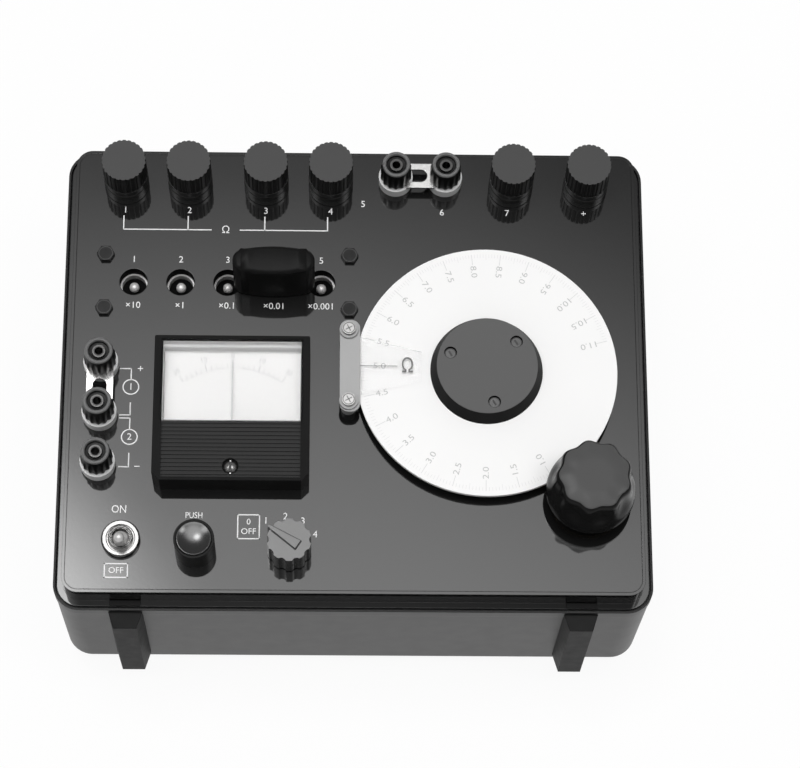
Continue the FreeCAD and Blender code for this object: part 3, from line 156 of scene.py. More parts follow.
def meterParts(board):
    # the ribbed apron is greyer than the frame; the window's inner walls are lined in white, greyed to paint the
    # shade that falls at the window's top edge
    low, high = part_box("meter_case")
    slack = meterZones["slack"]
    x, y, z = board.axes()
    backEdge = high.y - meterZones["windowBack"]
    frontEdge = backEdge - meterZones["windowDepth"]
    across = board.between(x, low.x + meterZones["wall"] - slack, high.x - meterZones["wall"] + slack)
    apron = across * board.between(y, low.y + meterZones["apronEdge"], frontEdge - slack)
    apron = apron * board.maths("GREATER_THAN", z, high.z - meterZones["apronDrop"])
    lining = across * board.between(y, frontEdge - slack, backEdge + slack)
    lining = lining * board.maths("LESS_THAN", z, high.z - meterZones["glass"])
    return [(apron, meterZones["apronTone"]), (lining, meterZones["liningWithPaintedShadeTone"])]


def paintedLitTop(node, drop, tone):
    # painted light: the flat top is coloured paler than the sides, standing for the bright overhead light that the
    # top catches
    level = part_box(node)[1].z - drop

    def zones(board):
        return [(board.maths("GREATER_THAN", board.axes()[2], level), grey(tone))]
    return zones


# sizes of cloud, scuff and grain that the moulded and the plated pieces share
mouldedLook = {"cloudSize": 20 * mm, "scuffSize": 6 * mm, "grainSize": 0.3 * mm, "grainDepth": 0.003 * mm,
               "edge": 0.3 * mm}
platedLook = {"cloudSize": 3 * mm, "scuffSize": 1 * mm, "grainSize": 0.3 * mm, "grainDepth": 0.004 * mm,
              "edge": 0.3 * mm}

finishes = {
    "case_black": surface("caseMoulding", {
        "tone": grey(0.012), "paler": grey(0.018), "gloss": (0.34, 0.41),
        "cloudSize": 60 * mm, "scuffSize": 9 * mm, "grainSize": 0.7 * mm,
        "grainDepth": 0.02 * mm, "edge": 1.0 * mm, "fixed": {"Specular IOR Level": 0.22}}),
    "foot_black": surface("footMoulding", {
        "tone": grey(0.008), "paler": grey(0.014), "gloss": (0.46, 0.62),
        "cloudSize": 18 * mm, "scuffSize": 5 * mm, "grainSize": 0.6 * mm,
        "grainDepth": 0.03 * mm, "edge": 0.6 * mm, "fixed": {"Specular IOR Level": 0.10}}),
    "panel_black": surface("polishedPanel", {
        "tone": grey(0.006), "paler": grey(0.010), "gloss": (0.03, 0.07),
        "cloudSize": 80 * mm, "scuffSize": 14 * mm, "grainSize": 1.5 * mm,
        "grainDepth": 0.002 * mm, "edge": 0.3 * mm}),
    "knob_black": surface("knobMoulding", mouldedLook | {
        "tone": grey(0.008), "paler": grey(0.013), "gloss": (0.24, 0.36), "edge": 0.35 * mm}),
    "meter_black": surface("meterMoulding", {
        "tone": grey(0.006), "paler": grey(0.009), "gloss": (0.42, 0.55),
        "cloudSize": 30 * mm, "scuffSize": 8 * mm, "grainSize": 0.6 * mm,
        "grainDepth": 0.006 * mm, "edge": 0.4 * mm, "zones": meterParts,
        "fixed": {"Specular IOR Level": 0.06}}),
    "nickel": surface("nickelPlate", {
        "tone": grey(0.42, 0.01), "paler": grey(0.56, 0.01), "gloss": (0.12, 0.28),
        "cloudSize": 6 * mm, "scuffSize": 1.5 * mm, "grainSize": 0.4 * mm,
        "grainDepth": 0.004 * mm, "edge": 0.25 * mm, "fixed": {"Metallic": 1.0}}),
    "dark_steel": surface("blackenedSteel", {
        "tone": grey(0.012), "paler": grey(0.020), "gloss": (0.32, 0.45),
        "cloudSize": 5 * mm, "scuffSize": 2 * mm, "grainSize": 0.4 * mm,
        "grainDepth": 0.006 * mm, "edge": 0.2 * mm, "fixed": {"Metallic": 1.0}}),
    "brass_work": surface("turnedBrass", {
        "tone": (0.52, 0.38, 0.16, 1.0), "paler": (0.62, 0.47, 0.22, 1.0), "gloss": (0.18, 0.34),
        "cloudSize": 10 * mm, "scuffSize": 2 * mm, "grainSize": 0.5 * mm,
        "grainDepth": 0.006 * mm, "edge": 0.2 * mm, "fixed": {"Metallic": 1.0}}),
    "insulation": surface("phenolicSheet", {
        "tone": (0.085, 0.040, 0.018, 1.0), "paler": (0.13, 0.065, 0.03, 1.0), "gloss": (0.30, 0.48),
        "cloudSize": 12 * mm, "scuffSize": 3 * mm, "grainSize": 0.6 * mm,
        "grainDepth": 0.01 * mm, "edge": 0.3 * mm}),
    "dial_white": surface("whiteEnamel", {
        "tone": grey(0.84, 0.004), "paler": grey(0.88, 0.004), "gloss": (0.34, 0.48),
        "cloudSize": 40 * mm, "scuffSize": 10 * mm, "grainSize": 0.8 * mm,
        "grainDepth": 0.004 * mm, "edge": 0.2 * mm}),
    "grey_alloy": surface("satinCasting", {
        "tone": grey(0.36), "paler": grey(0.41), "gloss": (0.40, 0.52),
        "cloudSize": 12 * mm, "scuffSize": 3 * mm, "grainSize": 0.35 * mm,
        "grainDepth": 0.008 * mm, "edge": 0.4 * mm, "fixed": {"Specular IOR Level": 0.3}}),
    "pointer_black": surface("needlePaint", {
        "tone": grey(0.62), "paler": grey(0.66), "gloss": (0.35, 0.5),
        "cloudSize": 8 * mm, "scuffSize": 2 * mm, "grainSize": 0.3 * mm,
        "grainDepth": 0.003 * mm, "edge": 0.1 * mm}),
    "rubber": surface("footRubber", {
        "tone": grey(0.014), "paler": grey(0.024), "gloss": (0.6, 0.8),
        "cloudSize": 10 * mm, "scuffSize": 2 * mm, "grainSize": 0.4 * mm,
        "grainDepth": 0.02 * mm, "edge": 0.5 * mm}),
    "cell_jacket": surface("steelJacket", {
        "tone": grey(0.28), "paler": grey(0.34), "gloss": (0.25, 0.4),
        "cloudSize": 12 * mm, "scuffSize": 3 * mm, "grainSize": 0.5 * mm,
        "grainDepth": 0.004 * mm, "edge": 0.3 * mm, "fixed": {"Metallic": 0.7}}),
    "clear": surface("clearAcrylic", {
        "tone": grey(0.97), "paler": grey(0.99), "gloss": (0.01, 0.04),
        "cloudSize": 30 * mm, "scuffSize": 6 * mm, "grainSize": 2 * mm,
        "grainDepth": 0.0005 * mm, "edge": 0.1 * mm,
        "fixed": {"Transmission Weight": 1.0, "IOR": 1.2, "Alpha": 0.4}}),
}

# pieces whose polish or tone differs from the rest of their slot
ownFinish = {
    "panel_frame": finishes["panel_black"],
    "meter_scale": surface("scaleCard", {
        "tone": grey(0.84, 0.006), "paler": grey(0.89, 0.006), "gloss": (0.5, 0.65),
        "cloudSize": 25 * mm, "scuffSize": 6 * mm, "grainSize": 0.4 * mm,
        "grainDepth": 0.003 * mm, "edge": 0.1 * mm}),
    # painted light: the hub's top is coloured paler than its sides
    "dial_hub": surface("hubMoulding", mouldedLook | {
        "tone": grey(0.004), "paler": grey(0.006), "gloss": (0.45, 0.6), "grainDepth": 0.004 * mm,
        "zones": paintedLitTop("dial_hub", drop=0.3 * mm, tone=0.115),
        "fixed": {"Specular IOR Level": 0.08}}),
    # painted light: the selector's top is coloured paler than its sides
    "selector_knob": surface("selectorMoulding", mouldedLook | {
        "tone": grey(0.005), "paler": grey(0.008), "gloss": (0.20, 0.30),
        "zones": paintedLitTop("selector_knob", drop=1.4 * mm, tone=0.11)}),
    "button_housing": surface("housingMoulding", mouldedLook | {
        "tone": grey(0.004), "paler": grey(0.006), "gloss": (0.3, 0.4), "edge": 0.4 * mm,
        "fixed": {"Specular IOR Level": 0.08}}),
    # the socket block's own black, darkened further as painted shade in the bores
    "socket_block": surface("blockMoulding", mouldedLook | {
        "tone": grey(0.003), "paler": grey(0.005), "gloss": (0.6, 0.7),
        "grainDepth": 0.004 * mm, "edge": 0.2 * mm, "fixed": {"Specular IOR Level": 0.04}}),
    "small_collars": surface("paleCollar", {
        "tone": grey(0.80), "paler": grey(0.86), "gloss": (0.35, 0.5),
        "cloudSize": 8 * mm, "scuffSize": 2 * mm, "grainSize": 0.3 * mm,
        "grainDepth": 0.004 * mm, "edge": 0.3 * mm}),
    "small_studs": surface("dullNickel", platedLook | {
        "tone": grey(0.05, 0.01), "paler": grey(0.08, 0.01), "gloss": (0.22, 0.36),
        "fixed": {"Metallic": 1.0}}),
    "toggle_lever": surface("leverNickel", platedLook | {
        "tone": grey(0.55, 0.01), "paler": grey(0.66, 0.01), "gloss": (0.24, 0.36),
        "fixed": {"Metallic": 0.4}}),
    "socket_rings": surface("contactNickel", platedLook | {
        "tone": grey(0.60, 0.01), "paler": grey(0.72, 0.01), "gloss": (0.26, 0.40),
        "fixed": {"Metallic": 0.3}}),
    "hub_screws": surface("dullSteel", platedLook | {
        "tone": grey(0.05), "paler": grey(0.08), "gloss": (0.25, 0.40), "fixed": {"Metallic": 0.5}}),
    "cursor_screws": surface("screwNickel", platedLook | {
        "tone": grey(0.22, 0.01), "paler": grey(0.30, 0.01), "gloss": (0.22, 0.36),
        "edge": 0.35 * mm, "fixed": {"Metallic": 1.0}}),
}
# painted light: the terminal caps' tops are coloured paler than their sides
capFinish = surface("capMoulding", mouldedLook | {
    "tone": grey(0.005), "paler": grey(0.008), "gloss": (0.30, 0.42),
    "grainDepth": 0.004 * mm, "edge": 0.35 * mm,
    "zones": paintedLitTop("terminal_cap_1", drop=0.3 * mm, tone=0.058), "fixed": {"Specular IOR Level": 0.16}})
for number in capNumbers:
    ownFinish[f"terminal_cap_{number}"] = capFinish
plugFinish = surface("plugMoulding", mouldedLook | {
    "tone": grey(0.006), "paler": grey(0.010), "gloss": (0.34, 0.44), "edge": 0.5 * mm,
    "fixed": {"Specular IOR Level": 0.07}})
buttonFinish = surface("buttonMoulding", mouldedLook | {
    "tone": grey(0.008), "paler": grey(0.012), "gloss": (0.14, 0.22), "grainDepth": 0.002 * mm,
    "fixed": {"Specular IOR Level": 0.8}})
# painted light: the small caps' tops are coloured paler than their sides
jackFinish = surface("jackMoulding", mouldedLook | {
    "tone": grey(0.004), "paler": grey(0.006), "gloss": (0.28, 0.40), "edge": 0.2 * mm,
    "zones": paintedLitTop("small_cap_1", drop=1.1 * mm, tone=0.14), "fixed": {"Specular IOR Level": 0.12}})
turnedFinish = surface("turnedNickel", {
    "tone": grey(0.16, 0.01), "paler": grey(0.21, 0.01), "gloss": (0.16, 0.30),
    "cloudSize": 6 * mm, "scuffSize": 1.5 * mm, "grainSize": 0.4 * mm,
    "grainDepth": 0.004 * mm, "edge": 0.25 * mm, "fixed": {"Metallic": 1.0}})
# painted light: the drive knob's top is coloured paler than its sides
driveFinish = surface("driveMoulding", mouldedLook | {
    "tone": grey(0.008), "paler": grey(0.012), "gloss": (0.16, 0.26),
    "zones": paintedLitTop("drive_knob", drop=0.4 * mm, tone=0.082), "fixed": {"Specular IOR Level": 0.06}})


def ink(name, tone, paler):
    return surface(name, {
        "tone": grey(tone), "paler": grey(paler), "gloss": (0.4, 0.55),
        "cloudSize": 3 * mm, "scuffSize": 1 * mm, "grainSize": 0.2 * mm,
        "grainDepth": 0.002 * mm, "edge": 0.02 * mm})


panelInk = ink("panelInk", 0.80, 0.88)
scaleInk = ink("scaleInk", 0.10, 0.16)
cardInk = ink("cardInk", 0.58, 0.66)
# the next two inks are near-black painted shade for slots, screw rims, chamfers, tube mouths and the selector
# pointer's sides
recessShadeInk = ink("recessShadeInk", 0.02, 0.04)
paintedShadeInk = ink("paintedShadeInk", 0.004, 0.006)
paleInk = ink("paleInk", 0.46, 0.54)
hairInk = ink("hairInk", 0.62, 0.68)

for row in frame["record"]["subparts"]:
    cadMesh = frame["nodes"][row["node"]].data
    cadMesh.materials.clear()
    cadMesh.materials.append(ownFinish.get(row["node"], finishes[row["material_slot"]]))
print("finishes given:", len(finishes))


def middle(node):
    low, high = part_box(node)
    return (low + high) / 2


def topOf(node):
    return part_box(node)[1].z


def jointPlace(name):
    for joint in frame["joints"]:
        if joint["name"] == name:
            return Vector(joint["pos_m"])


deck = middle("panel_plate")
deckTop = topOf("panel_plate")
socketCount = 5
pinLow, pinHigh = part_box("socket_pins")
pinRadius = (pinHigh.y - pinLow.y) / 2
socketPitch = (pinHigh.x - pinLow.x - 2 * pinRadius) / (socketCount - 1)
socketSpots = [Vector((pinLow.x + pinRadius + i * socketPitch, (pinLow.y + pinHigh.y) / 2, 0))
               for i in range(socketCount)]


def onDeck(x, y):
    return Vector((deck.x + x * mm, deck.y + y * mm, 0))


inkRise = 0.03 * mm
shadeMarkRise = 0.02 * mm
lettering = {"capShare": 0.71, "curveSteps": 3}  # capital height of the built-in font at size 1


class Print:  # flat printed marks, gathered into one mesh at one level
    def __init__(self, level, thickness=0.05 * mm, sunk=0.02 * mm):
        self.work = bmesh.new()
        self.low = level - sunk
        self.high = level + thickness

    def bar(self, start, end, width):
        run = end - start
        lie = Matrix.Translation(Vector(((start.x + end.x) / 2, (start.y + end.y) / 2,
                                         (self.low + self.high) / 2)))
        lie = lie @ Matrix.Rotation(math.atan2(run.y, run.x), 4, "Z")
        lie = lie @ Matrix.Diagonal((run.length, width, self.high - self.low, 1))
        bmesh.ops.create_cube(self.work, size=1, matrix=lie)

    def frameBox(self, centre, width, depth, line):
        corners = [centre + Vector((sx * width / 2, sy * depth / 2, 0))
                   for sx, sy in ((-1, -1), (1, -1), (1, 1), (-1, 1))]
        for i, corner in enumerate(corners):
            nextCorner = corners[(i + 1) % 4]
            reach = (nextCorner - corner).normalized() * line / 2
            self.bar(corner - reach, nextCorner + reach, line)

    def ring(self, centre, radius, line, start=0.0, turn=fullTurn, steps=roundSteps):
        whole = turn >= fullTurn
        aim = Vector((math.cos(start), math.sin(start), 0))
        section = ((-0.5, self.low), (0.5, self.low), (0.5, self.high), (-0.5, self.high))
        corners = []
        for side, z in section:
            spot = centre + aim * (radius + side * line)
            corners.append(self.work.verts.new((spot.x, spot.y, z)))
        edges = [self.work.edges.new((corners[i], corners[(i + 1) % 4])) for i in range(4)]
        bmesh.ops.spin(self.work, geom=corners + edges, cent=centre, axis=(0, 0, 1),
                       angle=turn, steps=steps, use_merge=whole)
        if not whole:
            rim = [edge for edge in self.work.edges if edge.is_boundary]
            bmesh.ops.holes_fill(self.work, edges=rim, sides=4)

    def words(self, text, centre, height, turn=0.0, narrow=1.0):
        letters = bpy.data.curves.new("letters", "FONT")
        letters.body = text
        letters.size = height / lettering["capShare"]
        letters.align_x = "CENTER"
        letters.align_y = "CENTER"
        letters.resolution_u = lettering["curveSteps"]
        letters.extrude = (self.high - self.low) / 2
        holder = bpy.data.objects.new("letters", letters)
        flat = bpy.data.meshes.new_from_object(holder)
        lie = Matrix.Translation(Vector((centre.x, centre.y, (self.low + self.high) / 2)))
        flat.transform(lie @ Matrix.Rotation(turn, 4, "Z") @ Matrix.Diagonal((narrow, 1, 1, 1)))
        self.work.from_mesh(flat)
        bpy.data.objects.remove(holder)
        bpy.data.curves.remove(letters)
        bpy.data.meshes.remove(flat)

    def lay(self, name, body, finish):
        place(self.work, name, body, finish)


def place(work, name, body, finish, smooth=False):
    bmesh.ops.remove_doubles(work, verts=work.verts, dist=weldGap)
    bmesh.ops.recalc_face_normals(work, faces=work.faces)
    for face in work.faces:
        face.smooth = smooth
    mesh = bpy.data.meshes.new(name)
    work.to_mesh(mesh)
    work.free()
    if smooth:
        mesh.set_sharp_from_angle(angle=softAngle)
    mesh.materials.append(finish)
    piece = bpy.data.objects.new(name, mesh)
    bpy.context.scene.collection.objects.link(piece)
    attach(piece, body)
    return piece


# white print on the panel: plain numbers, signs and leader lines
panelPrint = {
    "line": 0.55 * mm, "number": 3.4 * mm, "word": 3.9 * mm, "boxed": 3.0 * mm, "narrow": 0.85,
    "overlap": 0.27,
    "terminalNumbers": [("1", -114.9, 83.0), ("2", -83.0, 83.0), ("3", -44.9, 83.0),
                        ("4", -12.6, 83.0), ("5", 3.6, 87.2), ("6", 43.0, 83.0),
                        ("7", 75.6, 83.0), ("+", 114.0, 83.0)],
    "bracketLegs": [-115.6, -83.6, -45.4, -14.1], "bracketBack": 80.0, "bracketFront": 72.6,
    "bracketGap": (-71.8, -57.8),
    "socketNumbers": (56.4, ["1", "2", "3", "4", "5"]),
    "multipliers": (32.0, ["×10", "×1", "×0.1", "×0.01", "×0.001"]),
    "leftLines": [(-115.2, -1.4, -109.4), (-114.8, -25.4, -109.4), (-114.8, -27.0, -109.4),
                  (-114.5, -52.0, -109.6)],
    "leftLegs": [(-1.4, -6.8), (-19.2, -25.4), (-27.0, -32.6), (-45.2, -52.0)],
    "leftRings": [("1", -10.9), ("2", -36.7)], "leftX": -109.5, "leftRing": 3.8 * mm,
    "signs": [("+", -105.1, -1.6), ("−", -105.4, -52.0)],
    "switchWords": [("ON", -113.3, -73.6, 3.9), ("PUSH", -77.2, -76.4, 3.0)],
    "selectorNumbers": [("1", -42.6, -78.9), ("2", -33.2, -76.6), ("3", -24.8, -78.9),
                        ("4", -18.8, -85.6)],
    "offBoxes": [(-113.9, -104.2, 11.0, 6.8, ["OFF"]), (-50.9, -81.9, 10.4, 12.0, ["0", "OFF"])],
    "offPitch": 4.8,
}
marks = Print(deckTop)
line = panelPrint["line"]
for text, x, y in panelPrint["terminalNumbers"]:
    marks.words(text, onDeck(x, y), panelPrint["number"])
overlap = panelPrint["overlap"]
front = panelPrint["bracketFront"]
legs = panelPrint["bracketLegs"]
for x in legs:
    marks.bar(onDeck(x, panelPrint["bracketBack"]), onDeck(x, front - overlap), line)
gapLeft, gapRight = panelPrint["bracketGap"]
marks.bar(onDeck(legs[0], front), onDeck(gapLeft, front), line)
marks.bar(onDeck(gapRight, front), onDeck(legs[-1], front), line)
marks.words("Ω", onDeck((gapLeft + gapRight) / 2, front), panelPrint["word"])
for level, texts in (panelPrint["socketNumbers"], panelPrint["multipliers"]):
    for socket, text in zip(socketSpots, texts):
        marks.words(text, Vector((socket.x, onDeck(0, level).y, 0)), panelPrint["number"])
for start, level, end in panelPrint["leftLines"]:
    marks.bar(onDeck(start, level), onDeck(end, level), line)
leftX = panelPrint["leftX"]
for back, ahead in panelPrint["leftLegs"]:
    marks.bar(onDeck(leftX, back + overlap), onDeck(leftX, ahead - overlap), line)
for text, level in panelPrint["leftRings"]:
    marks.ring(onDeck(leftX, level), panelPrint["leftRing"], line)
    marks.words(text, onDeck(leftX, level), panelPrint["number"])
for text, x, y in panelPrint["signs"]:
    marks.words(text, onDeck(x, y), panelPrint["word"])
for text, x, y, height in panelPrint["switchWords"]:
    marks.words(text, onDeck(x, y), height * mm, narrow=panelPrint["narrow"])
for text, x, y in panelPrint["selectorNumbers"]:
    marks.words(text, onDeck(x, y), panelPrint["number"])
for x, y, width, depth, rows in panelPrint["offBoxes"]:
    marks.frameBox(onDeck(x, y), width * mm, depth * mm, line)
    for i, text in enumerate(rows):
        rowY = y + ((len(rows) - 1) / 2 - i) * panelPrint["offPitch"]
        marks.words(text, onDeck(x, rowY), panelPrint["boxed"])
marks.lay("panelMarks", "base", panelInk)
print("panel print laid")

# the slide-wire dial's graduations and numbers, read under the cursor
dialPrint = {
    "first": 1.0, "last": 11.0, "step": 0.5, "parts": 10,
    "firstAngle": 299.7, "lowStep": 15.25, "lowSteps": 8, "highStep": 13.54,
    "outer": 61.5 * mm, "long": 56.0 * mm, "medium": 58.4 * mm, "short": 59.6 * mm,
    "numberRadius": 52.4 * mm, "number": 3.0 * mm, "wide": 1.25, "heavy": 0.32 * mm, "fine": 0.14 * mm,
}
dialCentre = jointPlace("dial_turn")
dialMarks = Print(topOf("dial"), inkRise)
dialTicks = Print(topOf("dial"), inkRise)
stepCount = round((dialPrint["last"] - dialPrint["first"]) / dialPrint["step"])
for tick in range(stepCount * dialPrint["parts"] + 1):
    steps = tick / dialPrint["parts"]
    lowSteps = min(steps, dialPrint["lowSteps"])
    angle = math.radians(dialPrint["firstAngle"] - lowSteps * dialPrint["lowStep"]
                         - (steps - lowSteps) * dialPrint["highStep"])
    aim = Vector((math.cos(angle), math.sin(angle), 0))
    if tick % dialPrint["parts"] == 0:
        inner, width = dialPrint["long"], dialPrint["heavy"]
        value = dialPrint["first"] + steps * dialPrint["step"]
        spot = dialCentre + aim * dialPrint["numberRadius"]
        dialMarks.words(f"{value:.1f}", spot, dialPrint["number"], angle + math.pi, dialPrint["wide"])
    elif tick % (dialPrint["parts"] // 2) == 0:
        inner, width = dialPrint["medium"], dialPrint["fine"]
    else:
        inner, width = dialPrint["short"], dialPrint["fine"]
    dialTicks.bar(dialCentre + aim * inner, dialCentre + aim * dialPrint["outer"], width)
dialMarks.lay("dialMarks", "dial_unit", paleInk)
dialTicks.lay("dialTicks", "dial_unit", hairInk)
print("dial graduated")

# the meter's scale, centred on the needle's pivot
meterPrint = {
    "radius": 43.0 * mm, "sweep": 34.0, "ticks": 20, "short": 2.0 * mm, "long": 3.4 * mm,
    "line": 0.25 * mm, "heavy": 0.4 * mm, "numberRadius": 49.0 * mm, "number": 2.6 * mm,
    "numbers": ["20", "10", "0", "10", "20"], "ticksApart": 5, "arcSteps": 32,
}
pivot = jointPlace("pointer_swing")
meterMarks = Print(topOf("meter_scale"), inkRise)
sweep = math.radians(meterPrint["sweep"])
meterMarks.ring(pivot, meterPrint["radius"], meterPrint["line"], math.pi / 2 - sweep, 2 * sweep,
                meterPrint["arcSteps"])
for tick in range(meterPrint["ticks"] + 1):
    share = tick / meterPrint["ticks"]
    angle = math.pi / 2 + sweep * (1 - 2 * share)
    aim = Vector((math.cos(angle), math.sin(angle), 0))
    whole = tick % meterPrint["ticksApart"] == 0
    reach = meterPrint["long"] if whole else meterPrint["short"]
    width = meterPrint["heavy"] if whole else meterPrint["line"]
    meterMarks.bar(pivot + aim * meterPrint["radius"], pivot + aim * (meterPrint["radius"] + reach), width)
    if whole:
        text = meterPrint["numbers"][tick // meterPrint["ticksApart"]]
        meterMarks.words(text, pivot + aim * meterPrint["numberRadius"], meterPrint["number"],
                         angle - math.pi / 2)
meterMarks.lay("meterMarks", "base", cardInk)
print("meter scale drawn")

# hairline and unit sign on the clear cursor
cursorPrint = {"line": 0.3 * mm, "start": 1.5, "end": 20.5, "level": -2.5, "signX": 25.4, "sign": 7.6 * mm,
               "narrow": 0.78}
cursorMarks = Print(topOf("cursor_window"), inkRise)
level = cursorPrint["level"]
cursorMarks.bar(onDeck(cursorPrint["start"], level), onDeck(cursorPrint["end"], level), cursorPrint["line"])
cursorMarks.words("Ω", onDeck(cursorPrint["signX"], level), cursorPrint["sign"],
                  narrow=cursorPrint["narrow"])
cursorMarks.lay("cursorMarks", "base", scaleInk)
print("cursor marked")


def lathe(work, centre, outline, steps=roundSteps, closed=False):
    # spins an outline of (radius, level) pairs round a standing axis
    spots = [work.verts.new((centre.x + radius, centre.y, level)) for radius, level in outline]
    edges = [work.edges.new(pair) for pair in zip(spots, spots[1:])]
    if closed:
        edges.append(work.edges.new((spots[-1], spots[0])))
    bmesh.ops.spin(work, geom=spots + edges, cent=(centre.x, centre.y, 0), axis=(0, 0, 1),
                   angle=fullTurn, steps=steps, use_merge=True)


def ripple(work, centre, look, low, full, high):
    # flutes between two levels, coming in softly from low to full
    for vert in work.verts:
        if low < vert.co.z < high:
            out = Vector((vert.co.x - centre.x, vert.co.y - centre.y, 0))
            wave = 0.5 + 0.5 * math.cos(look["flutes"] * math.atan2(out.y, out.x))
            come = min(1.0, (vert.co.z - low) / (full - low))
            vert.co -= out * (look["depth"] * wave * come / look["rim"])


# screw heads on the cursor: painted shade in near-black marks a turned ring and a cross slot
screwPrint = {"ring": 2.7 * mm, "line": 0.4 * mm, "slot": 1.9 * mm, "slotLine": 0.45 * mm, "turn": 0.5}
screwLow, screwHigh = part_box("cursor_screws")
screwMarks = Print(screwHigh.z, shadeMarkRise)
screwX = (screwLow.x + screwHigh.x) / 2
headRadius = (screwHigh.x - screwLow.x) / 2
for y in (screwLow.y + headRadius, screwHigh.y - headRadius):
    centre = Vector((screwX, y, 0))
    screwMarks.ring(centre, screwPrint["ring"], screwPrint["line"])
    for turn in (screwPrint["turn"], screwPrint["turn"] + math.pi / 2):
        reach = Vector((math.cos(turn), math.sin(turn), 0)) * screwPrint["slot"]
        screwMarks.bar(centre - reach, centre + reach, screwPrint["slotLine"])
screwMarks.lay("cursorScrewSlotShade", "base", recessShadeInk)

# painted shade in the slots and round the recessed rims of the three screws that hold the hub
hubPrint = {"ring": 19.0 * mm, "angles": [41, 160, 280], "rim": 2.55 * mm, "line": 0.5 * mm,
            "slot": 1.5 * mm, "slotLine": 0.9 * mm, "slotTwist": 3}
hubMarks = Print(topOf("hub_screws"), shadeMarkRise)
for angle in hubPrint["angles"]:
    turn = math.radians(angle)
    centre = dialCentre + Vector((math.cos(turn), math.sin(turn), 0)) * hubPrint["ring"]
    hubMarks.ring(centre, hubPrint["rim"], hubPrint["line"])
    slotTurn = hubPrint["slotTwist"] * turn  # each slot lies its own way
    reach = Vector((math.cos(slotTurn), math.sin(slotTurn), 0)) * hubPrint["slot"]
    hubMarks.bar(centre - reach, centre + reach, hubPrint["slotLine"])
hubMarks.lay("hubScrewSlotShade", "dial_unit", paintedShadeInk)

# painted shade: a dark ring stands for the turned chamfer on each hexagon bolt that holds the socket block
boltPrint = {"flats": 7.6 * mm, "ring": 3.35 * mm, "line": 0.3 * mm}
boltLow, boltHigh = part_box("block_bolts")
boltMarks = Print(boltHigh.z, shadeMarkRise)
acrossCorners = boltPrint["flats"] / math.cos(math.pi / 6)  # of a hexagon
for x in (boltLow.x + acrossCorners / 2, boltHigh.x - acrossCorners / 2):
    for y in (boltLow.y + boltPrint["flats"] / 2, boltHigh.y - boltPrint["flats"] / 2):
        boltMarks.ring(Vector((x, y, 0)), boltPrint["ring"], boltPrint["line"])
boltMarks.lay("boltChamferShade", "base", recessShadeInk)

# painted shade: dark lines along the sides of the selector's raised pointer
selectorPrint = {"turn": math.radians(146.5), "rise": 1.2 * mm, "line": 0.6 * mm,
                 "corners": [(9.6, 1.1), (-5.3, 2.6), (-5.3, -2.6), (9.6, -1.1)]}
selectorMarks = Print(topOf("selector_knob") - selectorPrint["rise"], inkRise)
selectorSpot = jointPlace("selector_turn")


def besidePointer(along, aside):
    spot = Vector((along * mm, aside * mm, 0))
    spot.rotate(Matrix.Rotation(selectorPrint["turn"], 3, "Z"))
    return Vector((selectorSpot.x, selectorSpot.y, 0)) + spot


corners = selectorPrint["corners"]
for start, end in zip(corners, corners[1:]):
    selectorMarks.bar(besidePointer(*start), besidePointer(*end), selectorPrint["line"])
selectorMarks.lay("selectorPointerShade", "selector_unit", paintedShadeInk)

# painted shade: a dark ring darkens the mouth of each small terminal's tube
tubePrint = {"radius": 2.25 * mm, "line": 0.5 * mm}
tubeMarks = Print(topOf("small_studs"), shadeMarkRise)
for number in jackNumbers:
    tubeMarks.ring(middle(f"small_cap_{number}"), tubePrint["radius"], tubePrint["line"])
tubeMarks.lay("tubeMouthShade", "base", recessShadeInk)
print("slots, rims and seams marked")

# the meter's two back corners come to a small round
meterCorner = {"leg": 3.6 * mm, "overlap": 0.4 * mm, "inset": 0.02 * mm, "round": 0.7 * mm,
               "roundSteps": 3}
low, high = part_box("meter_case")
work = bmesh.new()
for x, inward in ((low.x + meterCorner["inset"], 1), (high.x - meterCorner["inset"], -1)):
    y = high.y - meterCorner["inset"]
    leg = meterCorner["leg"] + meterCorner["overlap"]
    spots = [work.verts.new((x, y, deckTop)), work.verts.new((x + inward * leg, y, deckTop)),
             work.verts.new((x, y - leg, deckTop))]
    risen = bmesh.ops.extrude_face_region(work, geom=[work.faces.new(spots)], use_keep_orig=True)
    bmesh.ops.translate(work, vec=(0, 0, high.z - meterCorner["inset"] - deckTop),
                        verts=[item for item in risen["geom"] if isinstance(item, bmesh.types.BMVert)])
    upright = [edge for edge in work.edges if all(
        abs(vert.co.x - x) < meterCorner["inset"] and abs(vert.co.y - y) < meterCorner["inset"]
        for vert in edge.verts)]
    bmesh.ops.bevel(work, geom=upright, offset=meterCorner["round"], segments=meterCorner["roundSteps"],
                    profile=0.5, affect="EDGES", material=-1)
place(work, "meterCorners", "base", finishes["meter_black"])

